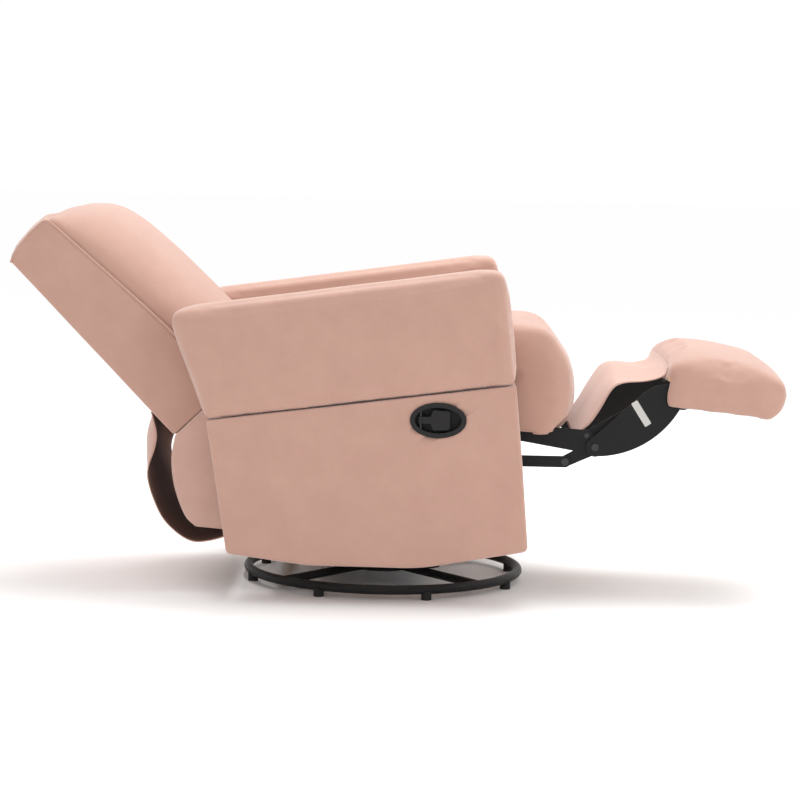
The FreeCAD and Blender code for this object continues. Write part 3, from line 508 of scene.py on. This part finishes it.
ARM_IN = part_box("arm_pad_left")[0].x
ARM_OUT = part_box("arm_pad_left")[1].x
PANEL_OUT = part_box("arm_panel_left")[1].x
SEAM_BACK = (-0.363, 0.380)
SEAM_FRONT = (0.271, 0.466)
UPPER_ARM = [(-0.3635, 0.3806, 0.003), (0.2715, 0.4668, 0.003), (0.2640, 0.5550, 0.25),
             (0.2430, 0.7030, 0.030), (-0.4480, 0.6020, 0.030)]
LOWER_ARM = [(-0.3185, 0.1040, 0.012), (-0.1500, 0.0830, 0.3), (0.0800, 0.0820, 0.4),
             (0.3040, 0.1220, 0.012), (0.2890, 0.2900, 0.5), (0.2712, 0.4654, 0.003),
             (-0.3632, 0.3794, 0.003)]
ARM_ROLL = 0.017
PANEL_ROLL = 0.009
ARM_VOXEL = 0.0062
HANDLE_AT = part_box("handle_housing")
for name, side in (("left", 1), ("right", -1)):
    limits = sorted((side * (ARM_IN + 0.002), side * (ARM_OUT - 0.0045)))
    crowns = (0.002, 0.004) if side > 0 else (0.004, 0.002)
    upper = padded_slab("arm_upper_" + name, rounded_outline(UPPER_ARM, 0.009), *limits, ARM_ROLL, *crowns,
                        (-0.07, 0.53), blush_cloth, seam=(SEAM_BACK, SEAM_FRONT))
    inflate(upper, ARM_VOXEL, 1.5, 0.003)
    ripple(upper, 0.0016, 6.0, 3.1 * side)
    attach(upper, "carriage")
    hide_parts("arm_pad_" + name)
    limits = sorted((side * (ARM_IN + 0.002), side * (PANEL_OUT - 0.0008)))
    crowns = (0.001, 0.0012) if side > 0 else (0.0012, 0.001)
    lower = padded_slab("arm_lower_" + name, rounded_outline(LOWER_ARM, 0.009), *limits, PANEL_ROLL, *crowns,
                        (-0.02, 0.27), blush_cloth, seam=(SEAM_BACK, SEAM_FRONT))
    ripple(lower, 0.0009, 5.0, 5.7 * side)
    if side < 0:
        well_low, well_high = HANDLE_AT
        well_size = well_high - well_low
        well_middle = (well_low + well_high) / 2
        cutter_shape = bmesh.new()
        bmesh.ops.create_circle(cutter_shape, cap_ends=True, segments=64, radius=1.0)
        pulled = bmesh.ops.extrude_face_region(cutter_shape, geom=cutter_shape.faces[:])["geom"]
        for item in pulled:
            if isinstance(item, bmesh.types.BMVert):
                item.co.z += 1.0
        for point in cutter_shape.verts:
            across, along, far = point.co
            point.co = (well_low.x - 0.01 + far * (well_size.x + 0.012),
                        well_middle.y + across * (well_size.y / 2 - 0.0055),
                        well_middle.z + along * (well_size.z / 2 - 0.0055))
        bmesh.ops.recalc_face_normals(cutter_shape, faces=cutter_shape.faces)
        cutter = make_piece("handle_well_cutter", cutter_shape, blush_cloth)
        carve(lower, cutter)
    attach(lower, "carriage")
    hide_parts("arm_panel_" + name)

# --- Release handle -------------------------------------------------------------------------------------
# A moulded oval cup let into the sitter's right arm, with a T-shaped paddle hinged at its rear end.

moulded_plastic = finish_of("black_moulded_plastic", (0.012, 0.011, 0.011), (0.022, 0.020, 0.020), 0.38,
                            grain=1800.0, bump=0.35)
dark_steel = finish_of("blackened_steel", (0.03, 0.03, 0.03), (0.07, 0.07, 0.07), 0.4, metallic=0.9,
                       grain=500.0)
paint(moulded_plastic, ["handle_housing", "handle_paddle"])
paint(dark_steel, ["handle_pin"])

# --- Seat frame and linkage -----------------------------------------------------------------------------
# Steel rails and a wooden box with springs, swing links to the carriage, and the footrest's linkage:
# cranks on a torque tube, bell cranks, curved guard plates and upper links, with dark rivets.

paint(powder_coat, ["seat_links_front", "seat_links_rear", "seat_rails", "torque_tube", "torque_cranks",
                    "drive_links", "bell_cranks", "guard_links", "upper_links", "footrest_brackets",
                    "back_brackets"])
paint(dark_steel, ["seat_pins", "bell_crank_rivets", "footrest_rivets", "back_spacers"])
paint(softwood, ["seat_boards", "footrest_board", "back_posts", "back_rails"])
spring_wire = finish_of("oiled_spring_wire", (0.07, 0.07, 0.075), (0.15, 0.15, 0.155), 0.3, metallic=0.9)
paint(spring_wire, ["seat_springs", "back_springs"])
paint(finish_of("grey_moulded_plastic", (0.16, 0.16, 0.165), (0.24, 0.24, 0.245), 0.5), ["footrest_tab"])

# --- Blank sticker --------------------------------------------------------------------------------------
# A small silver foil strip stuck on the outside of the sitter's right guard plate.

STICKER_SIZE = (0.015, 0.058)
STICKER_AT = (0.541, 0.398)
STICKER_LEAN = math.radians(-57)
STICKER_THICK = 0.0003
foil = finish_of("silver_foil_sticker", (0.42, 0.41, 0.39), (0.60, 0.58, 0.55), 0.45, metallic=0.35,
                 grain=2500.0, bump=0.6)
sticker_shape = bmesh.new()
sticker_rim = rounded_outline([(-0.5 * STICKER_SIZE[1], -0.5 * STICKER_SIZE[0], 0.002),
                               (0.5 * STICKER_SIZE[1], -0.5 * STICKER_SIZE[0], 0.002),
                               (0.5 * STICKER_SIZE[1], 0.5 * STICKER_SIZE[0], 0.002),
                               (-0.5 * STICKER_SIZE[1], 0.5 * STICKER_SIZE[0], 0.002)], 0.002)
guard_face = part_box("guard_links")[0].x
layers = []
for depth in (0.0, STICKER_THICK):
    layer = []
    for point in sticker_rim:
        along = point.x * math.cos(STICKER_LEAN) - point.y * math.sin(STICKER_LEAN)
        rise = point.x * math.sin(STICKER_LEAN) + point.y * math.cos(STICKER_LEAN)
        place = (guard_face - depth, -(STICKER_AT[0] + along), STICKER_AT[1] + rise)
        layer.append(sticker_shape.verts.new(place))
    sticker_shape.faces.new(layer)
    layers.append(layer)
for index in range(len(sticker_rim)):
    after = (index + 1) % len(sticker_rim)
    sticker_shape.faces.new((layers[0][index], layers[0][after], layers[1][after], layers[1][index]))
bmesh.ops.recalc_face_normals(sticker_shape, faces=sticker_shape.faces)
sticker = make_piece("blank_sticker", sticker_shape, foil)
for face in sticker.data.polygons:
    face.use_smooth = False
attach(sticker, "guard_links")

# --- Seat cushion ---------------------------------------------------------------------------------------
# One thick foam cushion whose cover runs over the top and down a rolled front, pulled under the front board.

SEAT_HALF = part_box("seat_cushion")[1].x
SEAT_SIDE = [(-0.150, 0.450, 0.020), (-0.150, 0.504, 0.030), (0.262, 0.577, 0.2), (0.345, 0.574, 0.06),
             (0.393, 0.500, 0.12), (0.399, 0.430, 0.10), (0.392, 0.372, 0.05), (0.352, 0.337, 0.022),
             (0.327, 0.345, 0.008), (0.327, 0.450, 0.004)]
SEAT_ROLL = 0.026
SEAT_VOXEL = 0.0062
seat_limit = SEAT_HALF - 0.009
seat = padded_slab("seat_cover", rounded_outline(SEAT_SIDE, 0.009), -seat_limit, seat_limit, SEAT_ROLL,
                   0.001, 0.001, (0.337, 0.462), blush_cloth, across=40)
SKIRT_SIDE = [(0.228, 0.500, 0.01), (0.228, 0.372, 0.01), (0.262, 0.353, 0.02), (0.330, 0.340, 0.012),
              (0.362, 0.345, 0.010), (0.362, 0.500, 0.01)]
SKIRT_IN = 0.243
for side in (-1, 1):
    limits = sorted((side * SKIRT_IN, side * seat_limit))
    skirt = padded_slab("seat_skirt", rounded_outline(SKIRT_SIDE, 0.006), *limits, 0.006, 0.0, 0.0,
                        (0.295, 0.42), blush_cloth, across=3)
    joined = bmesh.new()
    joined.from_mesh(seat.data)
    joined.from_mesh(skirt.data)
    joined.to_mesh(seat.data)
    joined.free()
    bpy.data.objects.remove(skirt)
even_out(seat, SEAT_VOXEL)
CRANK_ROOM = (0.195, 0.243)
CRANK_ROOM_FRONT = 0.29
CRANK_ROOM_TOP = 0.385
for point in seat.data.vertices:
    across = abs(point.co.x)
    crowd = max(0.0, min(1.0, (CRANK_ROOM[1] - across) / 0.006))
    crowd *= max(0.0, min(1.0, (across - CRANK_ROOM[0]) / 0.010))
    if -point.co.y > CRANK_ROOM_FRONT and point.co.z < CRANK_ROOM_TOP:
        point.co.z += (CRANK_ROOM_TOP - point.co.z) * crowd
inflate(seat, SEAT_VOXEL, 3.0, 0.005)
ripple(seat, 0.0016, 9.0, 1.9)
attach(seat, "seat")
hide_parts("seat_cushion")

ROLL_SIDE = [(-0.152, 0.448, 0.004), (-0.152, 0.506, 0.010), (-0.243, 0.438, 0.012),
             (-0.243, 0.426, 0.006), (-0.170, 0.426, 0.006), (-0.170, 0.448, 0.004)]
roll_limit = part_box("seat_rear_roll")[1].x - 0.001
roll = padded_slab("seat_rear_roll_cover", rounded_outline(ROLL_SIDE, 0.006), -roll_limit, roll_limit,
                   0.006, 0.0005, 0.0005, (-0.180, 0.455), blush_cloth, across=30)
ripple(roll, 0.0010, 9.0, 6.2)
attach(roll, "seat")
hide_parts("seat_rear_roll")

# --- Back -----------------------------------------------------------------------------------------------
# A boxed back: flat side panels and rear sewn with piping to a crowned front cushion. Its own frame
# starts at the low rear corner, with up along the back and out towards the sitter.

BACK_CORNER = Vector((-0.439, 0.330))
BACK_TILT = math.radians(44)
BACK_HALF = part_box("back_cushion")[1].x


def on_back(up, out):
    """A (forward, height) point from a place on the back."""
    forward = BACK_CORNER.x + out * math.cos(BACK_TILT) - up * math.sin(BACK_TILT)
    height = BACK_CORNER.y + out * math.sin(BACK_TILT) + up * math.cos(BACK_TILT)
    return forward, height


BACK_SIDE = [(0.002, 0.001, 0.006), (0.499, 0.001, 0.010), (0.511, 0.030, 0.05), (0.516, 0.080, 0.06),
             (0.513, 0.117, 0.008), (0.186, 0.1455, 0.5), (0.030, 0.149, 0.02), (0.002, 0.120, 0.01)]
back_outline = rounded_outline([(*on_back(up, out), radius) for up, out, radius in BACK_SIDE], 0.009)
back_limit = BACK_HALF - 0.002
shell = padded_slab("back_shell", back_outline, -back_limit, back_limit, 0.005, 0.001, 0.001,
                    on_back(0.26, 0.07), blush_cloth, across=40)
TOP_LIFT = 0.015
TOP_LIFT_FROM = 0.46
for point in shell.data.vertices:
    from_corner = Vector((-point.co.y, point.co.z)) - BACK_CORNER
    up = from_corner.y * math.cos(BACK_TILT) - from_corner.x * math.sin(BACK_TILT)
    fill = max(0.0, 1 - abs(point.co.x / BACK_HALF) ** 6) ** 0.7
    lift = TOP_LIFT * fill * max(0.0, min(1.0, (up - TOP_LIFT_FROM) / 0.04))
    point.co.y += lift * math.sin(BACK_TILT)
    point.co.z += lift * math.cos(BACK_TILT)
ripple(shell, 0.0014, 6.0, 4.4)
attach(shell, "backrest")
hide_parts("back_cushion")
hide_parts("outer_back_panel")

CROWN = [(0.022, 0.150), (0.045, 0.214), (0.085, 0.250), (0.154, 0.248), (0.280, 0.243), (0.409, 0.230),
         (0.474, 0.203), (0.506, 0.160), (0.514, 0.116)]
SEAM_OUT = [(0.022, 0.144), (0.186, 0.142), (0.514, 0.114)]
CROWN_ROWS = 56
CROWN_COLUMNS = 60
CROWN_HALF = BACK_HALF - 0.006
CROWN_DEPTH = 0.030
SEAM_EASE = 0.06


def along_line(points, place):
    """The second value of a line of (first, second) points, straight between them."""
    for (first, start), (second, end) in zip(points, points[1:]):
        if place <= second:
            return start + (end - start) * (place - first) / (second - first)
    return points[-1][1]


def eased(points, up, reach):
    """Average of near samples of a line, so that it has no corners."""
    reach = min(reach, up - points[0][0], points[-1][0] - up)
    samples = [along_line(points, up + reach * (k - 4) / 4) for k in range(9)]
    return sum(samples) / len(samples)


crown_shape = bmesh.new()
fronts = []
for row in range(CROWN_ROWS + 1):
    share = (1 - math.cos(math.pi * row / CROWN_ROWS)) / 2
    up = CROWN[0][0] + (CROWN[-1][0] - CROWN[0][0]) * share
    seam = eased(SEAM_OUT, up, SEAM_EASE)
    bulge = eased(CROWN, up, 0.035) - seam
    line = []
    for column in range(CROWN_COLUMNS + 1):
        across = -math.cos(math.pi * column / CROWN_COLUMNS)
        fill = max(0.0, 1 - abs(across) ** 2.8) ** 0.66
        out = seam + bulge * fill
        forward, height = on_back(up, out)
        line.append(crown_shape.verts.new((across * CROWN_HALF, -forward, height)))
    fronts.append(line)
backs = []
for row in range(CROWN_ROWS + 1):
    share = (1 - math.cos(math.pi * row / CROWN_ROWS)) / 2
    up = CROWN[0][0] + (CROWN[-1][0] - CROWN[0][0]) * share
    line = []
    for column in range(CROWN_COLUMNS + 1):
        across = -math.cos(math.pi * column / CROWN_COLUMNS)
        forward, height = on_back(up, eased(SEAM_OUT, up, SEAM_EASE) - CROWN_DEPTH)
        line.append(crown_shape.verts.new((across * CROWN_HALF, -forward, height)))
    backs.append(line)
for grid, flip in ((fronts, False), (backs, True)):
    for row in range(CROWN_ROWS):
        for column in range(CROWN_COLUMNS):
            corners = (grid[row][column], grid[row][column + 1],
                       grid[row + 1][column + 1], grid[row + 1][column])
            crown_shape.faces.new(corners[::-1] if flip else corners)


def grid_rim(grid):
    """The outer points of a grid, in order."""
    last_points = [line[-1] for line in grid[1:]]
    first_points = [line[0] for line in grid[-2:0:-1]]
    return grid[0] + last_points + grid[-1][-2::-1] + first_points


rim_front = grid_rim(fronts)
rim_back = grid_rim(backs)
for index in range(len(rim_front)):
    after = (index + 1) % len(rim_front)
    crown_shape.faces.new((rim_front[index], rim_back[index], rim_back[after], rim_front[after]))
bmesh.ops.remove_doubles(crown_shape, verts=crown_shape.verts, dist=1e-5)
bmesh.ops.recalc_face_normals(crown_shape, faces=crown_shape.faces)
crown = make_piece("back_front_cover", crown_shape, blush_cloth)
inflate(crown, 0.0065, 2.5, 0.006)
ripple(crown, 0.0016, 8.0, 7.3)
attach(crown, "backrest")
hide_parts("back_front_cushion")

PIPING = 0.0028
PIPE_ACROSS = BACK_HALF - 0.004
PIPE_LINE = [(0.020, 0.147), (0.100, 0.149), (0.186, 0.1465), (0.300, 0.137), (0.420, 0.126), (0.500, 0.119),
             (0.514, 0.114), (0.517, 0.098), (0.516, 0.070), (0.512, 0.034), (0.505, 0.010), (0.499, 0.0)]
for name, side in (("left", 1), ("right", -1)):
    route = [(side * PIPE_ACROSS, -on_back(up, out)[0], on_back(up, out)[1]) for up, out in PIPE_LINE]
    pipe = to_mesh(bead("back_piping_" + name, route, PIPING, blush_cloth))
    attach(pipe, "backrest")

# --- Footrest -------------------------------------------------------------------------------------------
# A foam pad over a board, open underneath where the linkage folds in. Its own frame starts at the top rear
# edge, with along running forwards and rise up out of the top.

PAD_CORNER = Vector((0.598, 0.502))
PAD_TILT = math.radians(-7)
PAD_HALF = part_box("footrest_cushion")[1].x


def on_pad(along, rise):
    """A (forward, height) point from a place on the footrest."""
    forward = PAD_CORNER.x + along * math.cos(PAD_TILT) - rise * math.sin(PAD_TILT)
    height = PAD_CORNER.y + along * math.sin(PAD_TILT) + rise * math.cos(PAD_TILT)
    return forward, height


PAD_SIDE = [(0.001, -0.004, 0.012), (0.030, 0.004, 0.05), (0.200, 0.004, 0.08), (0.246, -0.006, 0.02),
            (0.256, -0.030, 0.03), (0.251, -0.062, 0.04), (0.231, -0.088, 0.014), (0.002, -0.092, 0.008)]
PAD_ROLL = 0.016
PAD_VOXEL = 0.006
PAD_CROWN = 0.033
pad_outline = rounded_outline([(*on_pad(along, rise), radius) for along, rise, radius in PAD_SIDE], 0.008)
pad_limit = PAD_HALF - 0.006
pad_seam = (on_pad(0.002, -0.091), on_pad(0.226, -0.087))
pad = padded_slab("footrest_cover", pad_outline, -pad_limit, pad_limit, PAD_ROLL, 0.002, 0.002,
                  on_pad(0.12, -0.045), blush_cloth, across=30, seam=pad_seam)
even_out(pad, PAD_VOXEL)
for point in pad.data.vertices:
    forward = -point.co.y - PAD_CORNER.x
    rise = point.co.z - PAD_CORNER.y - forward * math.tan(PAD_TILT)
    if rise > -0.03:
        arch = max(0.0, 1 - (abs(point.co.x) / PAD_HALF) ** 4)
        length_arch = max(0.0, math.sin(math.pi * min(max((forward + 0.03) / 0.28, 0.0), 1.0)))
        point.co.z += PAD_CROWN * arch * (0.50 + 0.50 * length_arch) * (rise + 0.03) / 0.034
inflate(pad, PAD_VOXEL, 2.5, 0.005)
ripple(pad, 0.0014, 10.0, 2.6)
TRAY_HALF = 0.233
TRAY_SIDE = ((-0.03, -0.12), (0.2285, -0.12), (0.2285, -0.0335), (-0.03, -0.0335))
tray_shape = bmesh.new()
tray_corners = [on_pad(*corner) for corner in TRAY_SIDE]
tray_ends = [[tray_shape.verts.new((x, -forward, height)) for forward, height in tray_corners]
             for x in (-TRAY_HALF, TRAY_HALF)]
for index in range(4):
    after = (index + 1) % 4
    tray_shape.faces.new((tray_ends[0][index], tray_ends[0][after],
                          tray_ends[1][after], tray_ends[1][index]))
tray_shape.faces.new(tray_ends[0][::-1])
tray_shape.faces.new(tray_ends[1])
bmesh.ops.recalc_face_normals(tray_shape, faces=tray_shape.faces)
tray = make_piece("tray_cutter", tray_shape, blush_cloth)
carve(pad, tray)
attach(pad, "footrest")
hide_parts("footrest_cushion")

# --- Footrest apron -------------------------------------------------------------------------------------
# A loose panel of paler cloth that hides the linkage, sewn to the footrest's rear edge and tucked under
# the seat front. It stands up in a soft ridge over the links and sags at its sides.

pale_cloth = cloth_finish("pale_blush_cloth", (0.54, 0.345, 0.285), (0.60, 0.395, 0.33))
APRON_HALF = 0.206
APRON_MIDDLE = [(0.399, 0.350), (0.424, 0.388), (0.450, 0.437), (0.477, 0.471), (0.505, 0.479),
                (0.550, 0.474), (0.578, 0.481), (0.592, 0.494), (0.5965, 0.504)]
APRON_EDGE = [(0.401, 0.346), (0.430, 0.372), (0.455, 0.408), (0.478, 0.444), (0.500, 0.455), (0.540, 0.462),
              (0.570, 0.470), (0.590, 0.480), (0.5965, 0.494)]
SHEET_STEPS = 44
APRON_THICK = 0.0022


def curve_point(points, share):
    """A point on a smooth Catmull-Rom line through the points."""
    place = share * (len(points) - 1)
    index = min(int(place), len(points) - 2)
    local = place - index
    chosen = [Vector(points[min(max(index + k, 0), len(points) - 1)]) for k in (-1, 0, 1, 2)]
    a, b, c, d = chosen
    return 0.5 * (2 * b + (c - a) * local + (2 * a - 5 * b + 4 * c - d) * local ** 2
                  + (3 * b - a - 3 * c + d) * local ** 3)


def hung_sheet(name, middle, edge, half, folds, material, seed, hug=3):
    """A cloth grid between a middle line and an edge line, with shallow folds."""
    shape = bmesh.new()
    grid = []
    for row in range(SHEET_STEPS + 1):
        share = row / SHEET_STEPS
        line = []
        for column in range(SHEET_STEPS + 1):
            across = 2 * column / SHEET_STEPS - 1
            weight = abs(across) ** hug
            point = curve_point(middle, share).lerp(curve_point(edge, share), weight)
            fold = noise.noise(Vector((across * 2.2 + seed, share * 3.0, seed))) * folds
            fold *= math.sin(math.pi * share) ** 0.7
            line.append(shape.verts.new((across * half, -point.x, point.y + fold)))
        grid.append(line)
    for row in range(SHEET_STEPS):
        for column in range(SHEET_STEPS):
            shape.faces.new((grid[row][column], grid[row][column + 1], grid[row + 1][column + 1],
                             grid[row + 1][column]))
    bmesh.ops.recalc_face_normals(shape, faces=shape.faces)
    area = sum(face.calc_area() for face in shape.faces)
    piece = make_piece(name, shape, material)
    return piece, area


def thicken(piece, depth, inside=None):
    """Give a sheet its thickness, and, when a second cloth is given, put it on the sheet's other face as
    painted shade.
    """
    wall = piece.modifiers.new("thickness", "SOLIDIFY")
    wall.thickness = depth
    wall.offset = 0
    if inside:
        piece.data.materials.append(inside)
        wall.material_offset = 1
    bpy.context.view_layer.update()
    solid = bpy.data.meshes.new_from_object(piece.evaluated_get(bpy.context.evaluated_depsgraph_get()))
    piece.modifiers.clear()
    piece.data = solid
    for face in solid.polygons:
        face.use_smooth = True


apron, apron_area = hung_sheet("apron_cloth", APRON_MIDDLE, APRON_EDGE, APRON_HALF, 0.013, pale_cloth, 1.3)
thicken(apron, APRON_THICK)
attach(apron, "footrest")
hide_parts("footrest_apron")
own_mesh(apron)

# --- Cloth behind the back ------------------------------------------------------------------------------
# A slack outer panel hangs from the foot of the back and turns under to the rear stretcher, with a paler
# lining panel inside it.

outer_cloth = cloth_finish("outer_back_cloth", (0.50, 0.295, 0.235), (0.55, 0.335, 0.27))
# A dark copy of the cover cloth for the flap's inner face: painted shade, since the inside of the hanging
# flap lies in shadow.
flap_inside_painted_shade = cloth_finish("painted_shade_flap_inside", (0.20, 0.085, 0.055), (0.27, 0.125, 0.085), sheen=0.1)
FLAP_HALF = 0.236
FLAP_MIDDLE = [(-0.490, 0.379), (-0.507, 0.335), (-0.509, 0.285), (-0.499, 0.230), (-0.474, 0.160),
               (-0.440, 0.122), (-0.402, 0.103), (-0.365, 0.106), (-0.332, 0.118)]
FLAP_EDGE = [(-0.491, 0.380), (-0.480, 0.335), (-0.483, 0.302), (-0.498, 0.245), (-0.473, 0.170),
             (-0.440, 0.128), (-0.402, 0.106), (-0.365, 0.108), (-0.332, 0.118)]
flap, flap_area = hung_sheet("outer_back_cloth_panel", FLAP_MIDDLE, FLAP_EDGE, FLAP_HALF, 0.006,
                             outer_cloth, 5.2, hug=7)
thicken(flap, 0.0025, flap_inside_painted_shade)
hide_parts("outer_back_flap")
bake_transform(flap)

LINING_HALF = 0.230
LINING_MIDDLE = [(-0.438, 0.326), (-0.428, 0.270), (-0.418, 0.210), (-0.408, 0.165), (-0.370, 0.146),
                 (-0.332, 0.140)]
LINING_EDGE = [(-0.438, 0.326), (-0.430, 0.270), (-0.424, 0.210), (-0.411, 0.163), (-0.370, 0.146),
               (-0.332, 0.140)]
lining, lining_area = hung_sheet("back_lining_panel", LINING_MIDDLE, LINING_EDGE, LINING_HALF, 0.008,
                                 pale_cloth, 9.1)
thicken(lining, 0.0018)
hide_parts("back_lining")
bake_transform(lining)

# --- Side gussets of the back ---------------------------------------------------------------------------
# A pale cloth gusset on each side closes the gap under the back, from its lower side edge down to the rear
# stretcher. It is slack and lies just outside the hinge bracket.

GUSSET_REAR = [(-0.438, 0.334), (-0.445, 0.285), (-0.438, 0.225), (-0.416, 0.166), (-0.392, 0.142)]
GUSSET_FRONT = [(-0.345, 0.424), (-0.346, 0.340), (-0.336, 0.260), (-0.324, 0.190), (-0.316, 0.136)]
GUSSET_OUT = 0.2605
GUSSET_ROWS = 28
GUSSET_COLUMNS = 16
GUSSET_THICK = 0.0016
GUSSET_SLACK = 0.0012
for name, side in (("left", 1), ("right", -1)):
    gusset_shape = bmesh.new()
    gusset_grid = []
    for row in range(GUSSET_ROWS + 1):
        share = row / GUSSET_ROWS
        line = []
        for column in range(GUSSET_COLUMNS + 1):
            front = curve_point(GUSSET_FRONT, share)
            point = curve_point(GUSSET_REAR, share).lerp(front, column / GUSSET_COLUMNS)
            slack = noise.noise(Vector((point.x * 18, point.y * 14, 3.3 * side))) * GUSSET_SLACK
            line.append(gusset_shape.verts.new((side * (GUSSET_OUT + slack), -point.x, point.y)))
        gusset_grid.append(line)
    for first, second in zip(gusset_grid, gusset_grid[1:]):
        for column in range(GUSSET_COLUMNS):
            gusset_shape.faces.new((first[column], first[column + 1], second[column + 1], second[column]))
    bmesh.ops.recalc_face_normals(gusset_shape, faces=gusset_shape.faces)
    gusset_area = sum(face.calc_area() for face in gusset_shape.faces)
    gusset = make_piece("back_gusset_" + name, gusset_shape, pale_cloth)
    thicken(gusset, GUSSET_THICK)
    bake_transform(gusset)

# --- Studio ---------------------------------------------------------------------------------------------
# A plain pale floor, one broad lamp overhead and in front, a weak fill, and the camera at the side.

floor_shape = bmesh.new()
bmesh.ops.create_grid(floor_shape, x_segments=1, y_segments=1, size=40)
floor_finish, _, floor_shader = new_material("pale_floor")
floor_shader.inputs["Base Color"].default_value = (0.97, 0.97, 0.97, 1)
floor_shader.inputs["Roughness"].default_value = 0.9
floor = make_piece("studio_floor", floor_shape, floor_finish)

world = bpy.data.worlds.new("studio")
world.use_nodes = True
world.node_tree.nodes["Background"].inputs["Color"].default_value = (1.0, 1.0, 1.0, 1)
world.node_tree.nodes["Background"].inputs["Strength"].default_value = 1.02
bpy.context.scene.world = world
bpy.context.scene.view_settings.view_transform = "Standard"


def soft_lamp(name, size, power, position, target):
    """A square area lamp aimed at a point."""
    data = bpy.data.lights.new(name, "AREA")
    data.size = size
    data.energy = power
    lamp = bpy.data.objects.new(name, data)
    lamp.location = position
    lamp.rotation_euler = (Vector(target) - Vector(position)).to_track_quat("-Z", "Y").to_euler()
    bpy.context.scene.collection.objects.link(lamp)
    return lamp


soft_lamp("overhead_softbox", 2.4, 105, (0.8, -0.4, 3.3), (0, 0, 0.4))
soft_lamp("front_softbox", 2.0, 14, (-1.0, -3.2, 1.8), (0, 0, 0.4))
soft_lamp("camera_fill", 2.5, 3, (-4.0, 1.0, 1.6), (0, 0, 0.4))

PITCH = math.radians(5.92)
YAW = math.radians(0.6)
ROLL = math.radians(1.2)
ahead = Vector((math.cos(PITCH) * math.cos(YAW), math.cos(PITCH) * math.sin(YAW), -math.sin(PITCH)))
level_right = Vector((math.sin(YAW), -math.cos(YAW), 0))
level_up = Vector((math.sin(PITCH) * math.cos(YAW), math.sin(PITCH) * math.sin(YAW), math.cos(PITCH)))
right = level_right * math.cos(ROLL) + level_up * math.sin(ROLL)
up = level_up * math.cos(ROLL) - level_right * math.sin(ROLL)
lens = bpy.data.cameras.new("camera")
lens.lens = 110
lens.sensor_width = 36
camera = bpy.data.objects.new("camera", lens)
bpy.context.scene.collection.objects.link(camera)
camera.matrix_world = Matrix((
    (right.x, up.x, -ahead.x, -5.351),
    (right.y, up.y, -ahead.y, -0.086),
    (right.z, up.z, -ahead.z, 0.947),
    (0, 0, 0, 1)))
bpy.context.scene.camera = camera
